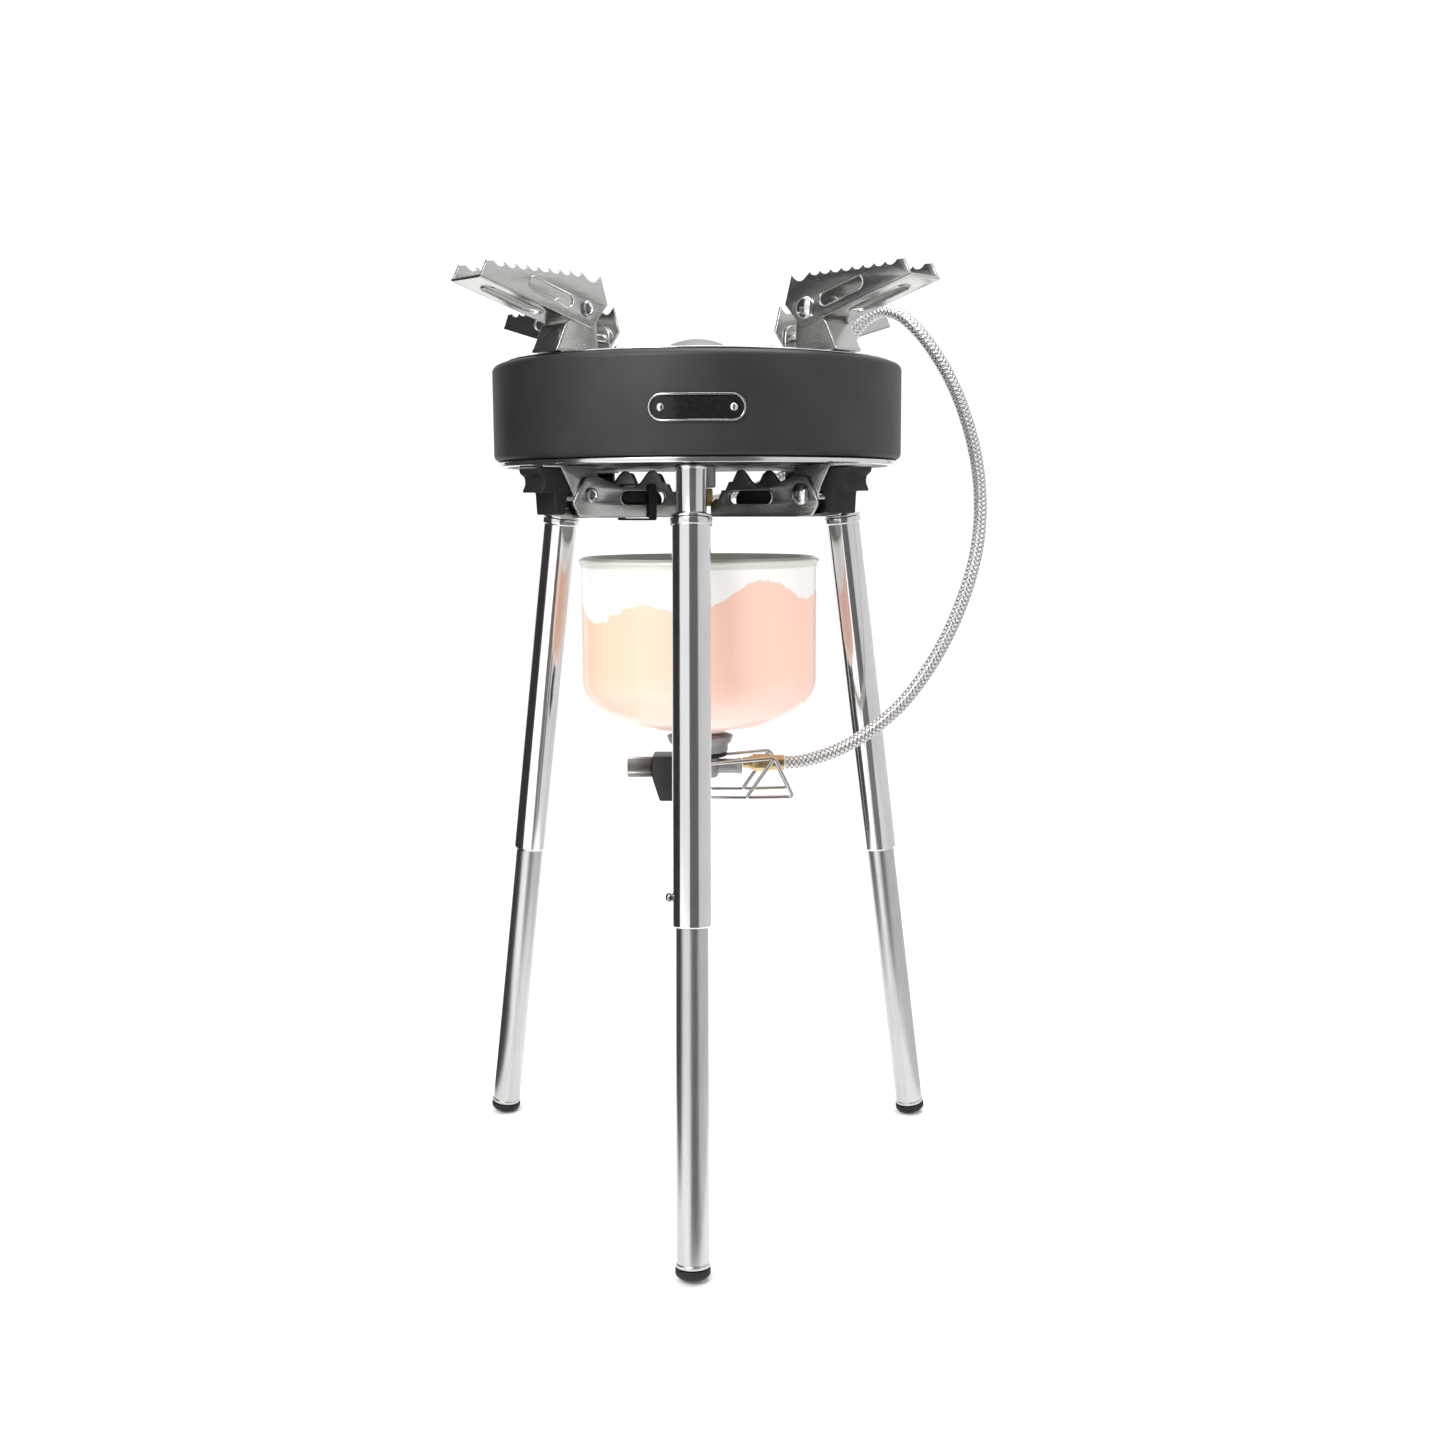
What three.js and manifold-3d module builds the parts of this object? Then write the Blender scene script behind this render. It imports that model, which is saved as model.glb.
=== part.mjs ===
// A tripod camping gas stove: a ring-shaped burner on three telescopic legs, with four folding
// pot supports above, four short folding legs below, and an inverted gas canister on a remote
// valve that a braided hose joins to the burner. Millimetres, +Z up, feet on z = 0.
import * as THREE from "three";
import { mergeVertices } from "three/addons/utils/BufferGeometryUtils.js";
import Module from "manifold-3d";

const wasm = await Module();
wasm.setup();

// ---------------------------------------------------------------- driving dimensions
const GAP = 0.3; // between pieces that touch
const SHEET = 1.2; // folded steel of the supports and brackets

const RING = { radius: 91.5, bottom: 330.6, top: 372.5, corner: 3, wall: 1.2 };
const BASE = { radius: 90, thickness: 2.2, ventRadius: 5.5, ventRing: 47, vents: 8 };
const PAN = { radius: 87, floorRadius: 54, holeRadius: 19.5, thickness: 0.8, depth: 9 };
const BURNER = { radius: 19, domeTop: 385, domeCurve: 30, neck: 8, slots: 16 };

const ARM_WIDTH = 19; // outside width of the channel-shaped supports and short legs
const BRACKET_WIDTH = ARM_WIDTH - 2 * SHEET - 2 * GAP;
const SUPPORT_PIVOT = { r: 73, z: 391.5 };
const SHORT_LEG_PIVOT = { r: 71.5, z: 315.5 };
const PIN_RADIUS = 2.4;
const PIN_HOLE = PIN_RADIUS + GAP;
const ARM_AZIMUTHS = [225, 315, 45, 135];
const RING_TURN = 2; // degrees that the ring and its pan supports sit round from the tripod
const SHORT_LEGS_TURN = 1.2;

const LEG_AZIMUTHS = [270, 30, 150];
const BUTTON_SIDES = [-1, 1, -1]; // the side of each leg, as it is screwed in, that its button is on
const LEG = { topRadius: 77.9, topZ: 305.6, footRadius: 121.5, tube: 8, inner: 6.7, wall: 0.8 };
const UPPER_TUBE_LENGTH = 166;
const TUBE_OVERLAP = 17; // of the lower tube inside the upper one, legs extended
const LEG_TRAVEL = 137;
const BUTTON_FROM_END = 12; // snap button, up from the upper tube's open end

const VALVE = { z: 192.5, seatZ: 200, blockX: -22, bodyEndX: 19.5, nutEndX: 39.2 };
const WIRE_HINGE = { x: -8.4, y: 11.2 }; // the uprights that the two wire feet turn on
const CANISTER = { radius: 55, rimZ: 288.4, shoulderZ: 232, neckZ: 207.5, wall: 0.8 };

const legTilt = Math.atan((LEG.footRadius - LEG.topRadius) / LEG.topZ);
const CAP = { radius: 7.2, sole: 5.6, height: 4 };
const footLift = CAP.sole * Math.sin(legTilt); // lifts the sole's low edge to the floor
const alongLeg = (z) => (z - footLift) / Math.cos(legTilt); // distance up a leg to height z
const legLength = alongLeg(LEG.topZ);

const supportReach = 127.4; // radius of a support's tip
const frontReach = LEG.footRadius + CAP.radius * Math.cos(legTilt);
const rearArm = ((ARM_AZIMUTHS[2] + RING_TURN) * Math.PI) / 180;
const rearReach = supportReach * Math.sin(rearArm) + (ARM_WIDTH / 2) * Math.cos(rearArm);
const AXIS_Y = (frontReach - rearReach) / 2; // puts the origin under the middle of the box

// ---------------------------------------------------------------- materials
const finish = (colour, roughness, metalness) =>
  new THREE.MeshStandardMaterial({ color: colour, roughness, metalness });

const blackCoat = finish(0x2c2c2e, 0.6, 0.2);
const brushedSteel = finish(0xb4b2ae, 0.38, 1);
const polishedSteel = finish(0xd2d2d2, 0.16, 1);
const castAlloy = finish(0x8c8b88, 0.55, 0.9);
const brass = finish(0xc69a4c, 0.3, 1);
const rubber = finish(0x1d1d1e, 0.85, 0);
const blackPlastic = finish(0x1a1a1b, 0.5, 0);
const gunmetal = finish(0x5c5957, 0.4, 0.9);
const braid = finish(0xbfbdbc, 0.35, 0.8);
const canisterPaint = finish(0xf6cfae, 0.35, 0.1);

// ---------------------------------------------------------------- making and joining solids
function signedVolume(geometry) {
  const corners = (geometry.index ? geometry.toNonIndexed() : geometry).attributes.position;
  const [a, b, c] = [new THREE.Vector3(), new THREE.Vector3(), new THREE.Vector3()];
  let total = 0;
  for (let i = 0; i < corners.count; i += 3) {
    a.fromBufferAttribute(corners, i);
    b.fromBufferAttribute(corners, i + 1);
    c.fromBufferAttribute(corners, i + 2);
    total += a.dot(b.cross(c));
  }
  return total / 6;
}

// A closed geometry with merged vertices, its faces turned outwards.
function closed(geometry) {
  const bare = geometry.index ? geometry.toNonIndexed() : geometry.clone();
  bare.deleteAttribute("normal");
  bare.deleteAttribute("uv");
  const merged = mergeVertices(bare, 1e-3);
  if (signedVolume(merged) < 0) {
    const order = merged.index.array;
    for (let i = 0; i < order.length; i += 3) {
      [order[i + 1], order[i + 2]] = [order[i + 2], order[i + 1]];
    }
  }
  return merged;
}

function solid(geometry) {
  const { attributes, index } = closed(geometry);
  const mesh = new wasm.Mesh({
    numProp: 3,
    vertProperties: new Float32Array(attributes.position.array),
    triVerts: new Uint32Array(index.array),
  });
  return new wasm.Manifold(mesh);
}

function geometryOf(manifold) {
  const mesh = manifold.getMesh();
  const geometry = new THREE.BufferGeometry();
  geometry.setAttribute("position", new THREE.BufferAttribute(mesh.vertProperties, 3));
  geometry.setIndex(new THREE.BufferAttribute(mesh.triVerts, 1));
  geometry.computeVertexNormals();
  return geometry;
}

const joined = (...shapes) => geometryOf(shapes.map(solid).reduce((sum, next) => sum.add(next)));
const cut = (base, ...tools) =>
  geometryOf(tools.map(solid).reduce((rest, tool) => rest.subtract(tool), solid(base)));

// A profile of [radius, z] corners turned about Z.
function turned(corners, segments = 32) {
  const profile = corners.map(([radius, z]) => new THREE.Vector2(radius, z));
  return closed(new THREE.LatheGeometry(profile, segments).rotateX(Math.PI / 2));
}

const ringProfile = (corners) => [...corners, corners[0]];

// A flat shape in the (r, z) plane, extruded across from y = -width/2 to width/2.
function across(shape, width, middle = 0) {
  const flat = new THREE.ExtrudeGeometry(shape, { depth: width, bevelEnabled: false, curveSegments: 6 });
  return closed(flat.translate(0, 0, -width / 2).rotateX(Math.PI / 2).translate(0, middle, 0));
}

const outline = (corners) => new THREE.Shape(corners.map(([x, z]) => new THREE.Vector2(x, z)));

const box = (x0, x1, y0, y1, z0, z1) =>
  new THREE.BoxGeometry(x1 - x0, y1 - y0, z1 - z0).translate((x0 + x1) / 2, (y0 + y1) / 2, (z0 + z1) / 2);

// A round bar between two points.
function bar(from, to, radius, sides = 12) {
  const [start, end] = [new THREE.Vector3(...from), new THREE.Vector3(...to)];
  const span = end.clone().sub(start);
  const turn = new THREE.Quaternion().setFromUnitVectors(new THREE.Vector3(0, 1, 0), span.clone().normalize());
  const middle = start.add(end).multiplyScalar(0.5);
  return new THREE.CylinderGeometry(radius, radius, span.length(), sides)
    .applyQuaternion(turn)
    .translate(middle.x, middle.y, middle.z);
}

const ball = (centre, radius) => new THREE.SphereGeometry(radius, 6, 4).translate(...centre);

function circlePath(x, z, radius, segments = 10) {
  const path = new THREE.Path();
  for (let i = 0; i < segments; i += 1) {
    const angle = (2 * Math.PI * i) / segments;
    const [px, pz] = [x + radius * Math.cos(angle), z + radius * Math.sin(angle)];
    if (i === 0) path.moveTo(px, pz);
    else path.lineTo(px, pz);
  }
  path.closePath();
  return path;
}

// A slot with round ends between two points.
function slotPath([x0, z0], [x1, z1], width) {
  const path = new THREE.Path();
  const along = Math.atan2(z1 - z0, x1 - x0);
  const ends = [[x1, z1, along - Math.PI / 2], [x0, z0, along + Math.PI / 2]];
  const steps = 3;
  ends.forEach(([x, z, start], end) => {
    for (let i = 0; i <= steps; i += 1) {
      const angle = start + (Math.PI * i) / steps;
      const [px, pz] = [x + (width / 2) * Math.cos(angle), z + (width / 2) * Math.sin(angle)];
      if (end === 0 && i === 0) path.moveTo(px, pz);
      else path.lineTo(px, pz);
    }
  });
  path.closePath();
  return path;
}

// ---------------------------------------------------------------- the scene graph
const stove = new THREE.Group();
stove.position.y = AXIS_Y;

function add(name, geometry, material, parent = stove) {
  const mesh = new THREE.Mesh(closed(geometry), material);
  mesh.name = name;
  parent.add(mesh);
  return mesh;
}

function azimuthGroup(degrees) {
  const group = new THREE.Group();
  group.rotation.z = THREE.MathUtils.degToRad(degrees);
  stove.add(group);
  return group;
}

// ---------------------------------------------------------------- ring, plates and burner
function ringShell() {
  const { radius, bottom, top, corner, wall } = RING;
  const lip = 9;
  const round = (z, from, to) =>
    [0, 1, 2, 3].map((i) => {
      const angle = from + ((to - from) * i) / 3;
      return [radius - corner + corner * Math.cos(angle), z + corner * Math.sin(angle)];
    });
  const profile = [
    [radius - lip, bottom],
    ...round(bottom + corner, -Math.PI / 2, 0),
    ...round(top - corner, 0, Math.PI / 2),
    [radius - lip - 9, top],
    [radius - lip - 9, top - wall],
    [radius - corner, top - wall],
    [radius - wall, top - corner],
    [radius - wall, bottom + corner],
    [radius - corner, bottom + wall],
    [radius - lip, bottom + wall],
  ];
  add("ring_shell", turned(ringProfile(profile), 44), blackCoat);
}

function basePlate() {
  const top = RING.bottom - GAP;
  const under = top - BASE.thickness;
  const disc = new THREE.Shape();
  disc.absarc(0, 0, BASE.radius, 0, 2 * Math.PI);
  disc.holes.push(circlePath(0, 0, BURNER.neck + 2, 16));
  for (let i = 0; i < BASE.vents; i += 1) {
    const angle = (2 * Math.PI * (i + 0.5)) / BASE.vents;
    const [x, y] = [BASE.ventRing * Math.cos(angle), BASE.ventRing * Math.sin(angle)];
    disc.holes.push(circlePath(x, y, BASE.ventRadius, 8));
  }
  const options = { depth: BASE.thickness, bevelEnabled: false, curveSegments: 20 };
  const plate = new THREE.ExtrudeGeometry(disc, options).translate(0, 0, under);
  const bosses = [];
  const bores = [];
  const bossMiddle = alongLeg(top) + 2;
  for (const degrees of LEG_AZIMUTHS) {
    bosses.push(onLeg(bar([0, 0, bossMiddle - 4], [0, 0, bossMiddle + 4], 8, 10), degrees));
    bores.push(onLeg(bar([0, 0, bossMiddle - 20], [0, 0, bossMiddle + 20], 4.3, 12), degrees));
  }
  const trim = box(-95, 95, -95, 95, under - 20, under);
  add("base_plate", cut(joined(plate, ...bosses), ...bores, trim), brushedSteel);
}

function topPlate() {
  const { radius, floorRadius, holeRadius, thickness, depth } = PAN;
  const high = RING.top + GAP;
  const low = high - depth;
  const profile = [
    [radius, high],
    [radius, high + thickness],
    [floorRadius + 8, high + thickness],
    [floorRadius, low + thickness],
    [holeRadius, low + thickness],
    [holeRadius, low],
    [floorRadius, low],
    [floorRadius + 8, high],
  ];
  add("top_plate", turned(ringProfile(profile), 40), polishedSteel);
}

function burner() {
  const { radius, domeTop, domeCurve, neck, slots } = BURNER;
  const seat = 377;
  const dome = [0, 0.4, 0.75, 1].map((part) => {
    const r = (radius - 1) * part;
    return [r, domeTop - domeCurve + Math.sqrt(domeCurve ** 2 - r ** 2)];
  });
  const cap = turned([...dome, [radius, 378.2], [radius, seat], [radius - 2, seat], [0, seat]], 16);
  const ports = [];
  for (let i = 0; i < slots; i += 1) {
    const port = box(radius - 3.2, radius + 1, -0.8, 0.8, seat - 1, seat + 1.5);
    ports.push(port.rotateZ((2 * Math.PI * i) / slots));
  }
  add("burner_cap", cut(cap, ...ports), castAlloy);

  const rim = seat - GAP;
  const cup = [
    [neck - 2, 319],
    [neck, 319],
    [neck, 350],
    [radius - 1, 362],
    [radius, 364],
    [radius, rim],
    [radius - 2.2, rim],
    [radius - 2.2, 365],
    [neck - 2, 352],
  ];
  const airHoles = [0, 90].map((turn) => bar([-12, 0, 324], [12, 0, 324], 2, 8).rotateZ((turn + 45) * Math.PI / 180));
  add("burner_cup", cut(turned(ringProfile(cup), 20), ...airHoles), castAlloy);
}

function gasFeed() {
  const inletY = 82;
  const bodyTop = 319 - GAP;
  const jetBlock = new THREE.CylinderGeometry(7.5, 7.5, 8, 6).rotateX(Math.PI / 2).translate(0, 0, bodyTop - 4);
  const jet = turned([[0, bodyTop - 1], [3, bodyTop - 1], [3, bodyTop + 3], [1.2, bodyTop + 5], [0, bodyTop + 5]], 12);
  const pipe = bar([0, 4, 315], [0, inletY, 315], 2.5, 12);
  add("gas_pipe", joined(jetBlock, jet, pipe), brass);
  const nutStart = inletY + GAP;
  const hexagon = bar([0, nutStart, 315], [0, nutStart + 9, 315], 5, 6);
  const tail = bar([0, nutStart + 8, 315], [0, nutStart + 13.4, 315], 3.6, 16);
  add("inlet_nut", joined(hexagon, tail), brass);
}

// ---------------------------------------------------------------- badge (left blank)
function badge() {
  const [length, height] = [39, 11];
  const centreZ = 349.5;
  const stadium = (inset) => {
    const half = length / 2 - height / 2;
    const shape = new THREE.Shape();
    shape.setFromPoints(slotPath([-half, 0], [half, 0], height - 2 * inset).getPoints());
    return shape;
  };
  const wrap = (geometry, inside, outside) => {
    const band = turned(ringProfile([[inside, -20], [outside, -20], [outside, 20], [inside, 20]]), 96);
    const placed = geometry.rotateX(Math.PI / 2).translate(0, -80, 0);
    return geometryOf(solid(placed).intersect(solid(band))).translate(0, 0, centreZ);
  };
  const prism = (shape) => new THREE.ExtrudeGeometry(shape, { depth: 20, bevelEnabled: false });
  const face = RING.radius + GAP;
  const frameShape = stadium(0);
  frameShape.holes.push(new THREE.Path(stadium(0.7).getPoints()));
  const rivets = [-1, 1].map((side) =>
    bar([0, -face - 1.3, centreZ], [0, -face, centreZ], 1.3).rotateZ(Math.asin((side * 14.6) / face)),
  );
  const group = azimuthGroup(RING_TURN);
  const frame = wrap(prism(frameShape), face, face + 1);
  add("badge_frame", frame, polishedSteel, group);
  const plate = wrap(prism(stadium(1)), face, face + 0.7);
  add("badge_plate", joined(plate, ...rivets), blackCoat, group);
}

// ---------------------------------------------------------------- folding pot supports
// Outlines are [along, up] from the pivot, with the arm pointing outwards.
const SUPPORT = {
  heel: [[-2.3, -7.6], [-11.4, 2.3], [-7.7, 14.1]],
  firstTooth: 2.5,
  toothPitch: 5.6,
  teeth: 8,
  topZ: 14.3,
  toothDepth: 1.7,
  tip: [[47.3, 14.3], [50.8, 14.3], [54.4, 7.6]], // ends in a short flat land under the pan
};

function scallops() {
  const { firstTooth, toothPitch, teeth, topZ, toothDepth } = SUPPORT;
  const edge = [];
  for (let i = 0; i < teeth; i += 1) {
    const start = firstTooth + i * toothPitch;
    for (const part of [0, 0.3, 0.7]) {
      const dip = toothDepth * Math.sin(Math.PI * part);
      edge.push([start + toothPitch * part, topZ - dip]);
    }
  }
  return edge;
}

function potSupport(index, group) {
  const hornDip = [[-5.6, 12.2], [-3.2, 11.1], [-0.6, 11.6]];
  const shape = outline([...SUPPORT.heel, ...hornDip, ...scallops(), ...SUPPORT.tip]);
  shape.holes.push(circlePath(0, 0, PIN_HOLE));
  shape.holes.push(slotPath([10, 2.6], [27.5, 7.4], 5));
  const [low, high] = [SUPPORT.heel[0], SUPPORT.tip[2]];
  const slope = Math.atan2(high[1] - low[1], high[0] - low[0]);
  const length = Math.hypot(high[0] - low[0], high[1] - low[1]);
  const webShape = new THREE.Shape();
  webShape.setFromPoints(
    [[10.5, -1], [length, -1], [length, 1], [10.5, 1]].map(([x, y]) => new THREE.Vector2(x, (y * ARM_WIDTH) / 2)),
  );
  webShape.holes.push(slotPath([24, 0], [46, 0], 7));
  const web = new THREE.ExtrudeGeometry(webShape, { depth: SHEET, bevelEnabled: false })
    .rotateY(-slope)
    .translate(low[0], 0, low[1]);
  const flange = (side) => across(shape, SHEET, (side * (ARM_WIDTH - SHEET)) / 2);
  const arm = joined(flange(-1), flange(1), web).translate(SUPPORT_PIVOT.r, 0, SUPPORT_PIVOT.z);
  add(`pot_support_${index}`, arm, brushedSteel, group);
}

function supportBracket(index, group) {
  const base = RING.top + GAP + PAN.thickness + GAP;
  const { r, z } = SUPPORT_PIVOT;
  const cheek = outline([
    [r - 7, base], [r + 15.6, base], [r + 10, z - 6.2], [r + 8.6, z - 6],
    ...[-20, 10, 40, 70, 100, 130, 160].map((degrees) => {
      const angle = (degrees * Math.PI) / 180;
      return [r + 6 * Math.cos(angle), z + 6 * Math.sin(angle)];
    }),
  ]);
  cheek.holes.push(circlePath(r, z, PIN_HOLE));
  const cheeks = [-1, 1].map((side) => across(cheek, SHEET, (side * (BRACKET_WIDTH - SHEET)) / 2));
  const wall = outline([[r + 14.2, base], [r + 15.6, base], [r + 10, z - 6.2], [r + 8.6, z - 6.2]]);
  const floor = outline([[r - 15, base], [r + 15.6, base], [r + 15.6, base + SHEET], [r - 15, base + SHEET]]);
  const bracket = joined(...cheeks, across(wall, BRACKET_WIDTH), across(floor, BRACKET_WIDTH));
  add(`support_bracket_${index}`, bracket, brushedSteel, group);
}

// A rivet with a domed head on one side and a peened tail on the other.
function pivotPin(name, pivot, group) {
  const half = ARM_WIDTH / 2 + GAP;
  const profile = [
    [0, -half - 2.2], [2.6, -half - 1.6], [3.9, -half],
    [PIN_RADIUS, -half], [PIN_RADIUS, half], [3.1, half], [3.1, half + 0.8], [0, half + 0.8],
  ];
  const pin = turned(profile, 10).rotateX(-Math.PI / 2).translate(pivot.r, 0, pivot.z);
  add(name, pin, polishedSteel, group);
}

// ---------------------------------------------------------------- short folding legs below
function shortLegBracket(index, group) {
  const top = RING.bottom - BASE.thickness - 2 * GAP;
  const { r, z } = SHORT_LEG_PIVOT;
  const thickness = 0.9;
  const cheek = outline([
    [r - 5, top], [r + 15.5, top], [r + 13.5, top - 3], [r + 7, z - 1.8],
    ...[-40, -70, -100, -130, -160, -190].map((degrees) => {
      const angle = (degrees * Math.PI) / 180;
      return [r + 5.6 * Math.cos(angle), z + 5.6 * Math.sin(angle)];
    }),
  ]);
  cheek.holes.push(circlePath(r, z, PIN_HOLE));
  const cheeks = [-1, 1].map((side) => across(cheek, thickness, (side * (BRACKET_WIDTH - thickness)) / 2));
  const floor = outline([[r - 8, top - thickness], [r + 24, top - thickness], [r + 24, top], [r - 8, top]]);
  add(`leg_bracket_${index}`, joined(...cheeks, across(floor, BRACKET_WIDTH)), brushedSteel, group);
}

function shortLeg(index, group) {
  const { r, z } = SHORT_LEG_PIVOT;
  // [inwards, up] from the pivot, folded under the stove
  const shape = outline(
    [
      [-10, -3.3], [-6.3, -8.8], [2, -9.5], [54, -9.5], [54, -4],
      [51, -1.4], [49.4, -2.2], [46.8, 2.4], [45, 1.6], [42.4, 6], [40.6, 5.4], [37.5, 10.4], [35, 11],
      [32.4, 9.6], [29, 5.8], [24.5, 3.2], [18, 3.4], [9, 6.2], [3, 8.2], [-3, 7.4],
    ].map(([inwards, up]) => [-inwards, up]),
  );
  shape.holes.push(circlePath(0, 0, PIN_HOLE));
  shape.holes.push(slotPath([-39.5, -1], [-19.5, -1], 5.6));
  const flange = (side) => across(shape, SHEET, (side * (ARM_WIDTH - SHEET)) / 2);
  const web = across(outline([[-54, -9.5], [-4.5, -9.5], [-4.5, -9.5 + SHEET], [-54, -9.5 + SHEET]]), ARM_WIDTH);
  add(`short_leg_${index}`, joined(flange(-1), flange(1), web).translate(r, 0, z), brushedSteel, group);
}

function hoseCleat(index, group) {
  const top = RING.bottom - BASE.thickness - 2 * GAP - 0.9 - GAP;
  const width = BRACKET_WIDTH - 1.8 - 2 * GAP;
  const shape = outline([
    [78.5, top], [97, top], [96.6, top - 2.2], [94.2, top - 3.8], [93.8, top - 6.4], [95.6, top - 10],
    [88.6, top - 10], [88, 307.4], [83.4, 307.4], [82.4, 313.5], [81.2, 316.6], [78.5, 318.4],
  ]);
  add(`hose_cleat_${index}`, across(shape, width), rubber, group);
}

// ---------------------------------------------------------------- telescopic tripod legs
// Puts a geometry made along +Z, with the foot at 0, into a leg's own tilted place.
function onLeg(geometry, degrees) {
  return geometry
    .rotateY(-legTilt)
    .translate(LEG.footRadius, 0, footLift)
    .rotateZ((degrees * Math.PI) / 180);
}

function tripodLeg(index, degrees, side) {
  const group = new THREE.Group();
  group.rotation.z = (degrees * Math.PI) / 180;
  const tilted = new THREE.Group();
  tilted.position.set(LEG.footRadius, 0, footLift);
  tilted.rotation.y = -legTilt;
  group.add(tilted);
  stove.add(group);

  const top = legLength;
  const open = top - UPPER_TUBE_LENGTH;
  const boreOf = LEG.tube - LEG.wall;
  const buttonZ = open + BUTTON_FROM_END;

  const plateZ = alongLeg(RING.bottom - GAP - BASE.thickness);
  const post = [
    [0, top - 7], [boreOf - GAP, top - 7], [boreOf - GAP, top + GAP], [8.7, top + GAP], [8.7, top + 1.4],
    [6.3, top + 2], [6.3, plateZ - 2.2], [4, plateZ - 2], [4, plateZ + 8], [0, plateZ + 8],
  ];
  add(`leg_post_${index}`, turned(post, 16), polishedSteel, tilted);

  const tube = turned(ringProfile([
    [LEG.tube, open], [LEG.tube, top - 3], [LEG.tube + 0.7, top - 2.6], [LEG.tube + 0.7, top],
    [boreOf, top], [boreOf, open],
  ]), 20);
  const hole = (height) => bar([0, 0, height], [0, side * 12, height], 2.3, 8);
  const upper = cut(tube, hole(buttonZ), hole(buttonZ + LEG_TRAVEL));
  add(`upper_tube_${index}`, upper, polishedSteel, tilted);

  const lowerTop = open + TUBE_OVERLAP;
  const lowerEnd = CAP.height + GAP;
  const lowerTube = turned(ringProfile([
    [LEG.inner, lowerEnd], [LEG.inner, lowerTop], [LEG.inner - LEG.wall, lowerTop], [LEG.inner - LEG.wall, lowerEnd],
  ]), 20);
  const lower = cut(lowerTube, hole(buttonZ), hole(buttonZ - LEG_TRAVEL));
  add(`lower_tube_${index}`, lower, polishedSteel, tilted);

  const cap = turned([
    [0, 0], [CAP.sole, 0], [CAP.radius, 1.4], [CAP.radius, CAP.height],
    [LEG.inner - LEG.wall - GAP, CAP.height], [LEG.inner - LEG.wall - GAP, CAP.height + 7], [0, CAP.height + 7],
  ], 16);
  add(`foot_cap_${index}`, cap, rubber, tilted);

  const stem = bar([0, side * (LEG.inner + GAP), buttonZ], [0, side * (LEG.tube + 1.4), buttonZ], 1.9, 8);
  const head = ball([0, side * (LEG.tube + 1.2), buttonZ], 2);
  add(`snap_button_${index}`, joined(stem, head), polishedSteel, tilted);
}

// ---------------------------------------------------------------- canister and remote valve
// A thin-walled canister, upside down, open only through its valve stem.
function canister() {
  const { radius, rimZ, shoulderZ, neckZ, wall } = CANISTER;
  const stem = neckZ - 6;
  const shell = (inset) => {
    const dome = [66, 42, 20, 0].map((degrees) => {
      const angle = (degrees * Math.PI) / 180;
      const [across, drop] = [radius - 18.2, shoulderZ - neckZ - 2];
      return [17 - inset + across * Math.cos(angle), shoulderZ - (drop - inset) * Math.sin(angle)];
    });
    return dome;
  };
  const outside = [
    [5.4, stem], [5.4, neckZ], [12, neckZ], [12.5, neckZ + 2.4],
    ...shell(0),
    [radius - 1.2, rimZ - 5], [radius, rimZ - 3.6], [radius, rimZ - 0.8], [radius - 1, rimZ],
    [radius - 3, rimZ - 4], [36, rimZ - 10.5], [0, rimZ - 13.5],
  ];
  const inside = [
    [0, rimZ - 13.5 - wall], [36, rimZ - 10.5 - wall], [radius - 1.2 - wall, rimZ - 5 - wall],
    ...shell(wall).reverse(),
    [12.5 - wall, neckZ + 2.4 + wall], [1.5, neckZ + wall], [1.5, stem],
  ];
  add("canister", turned(ringProfile([...outside, ...inside]), 28), canisterPaint);
}

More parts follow.
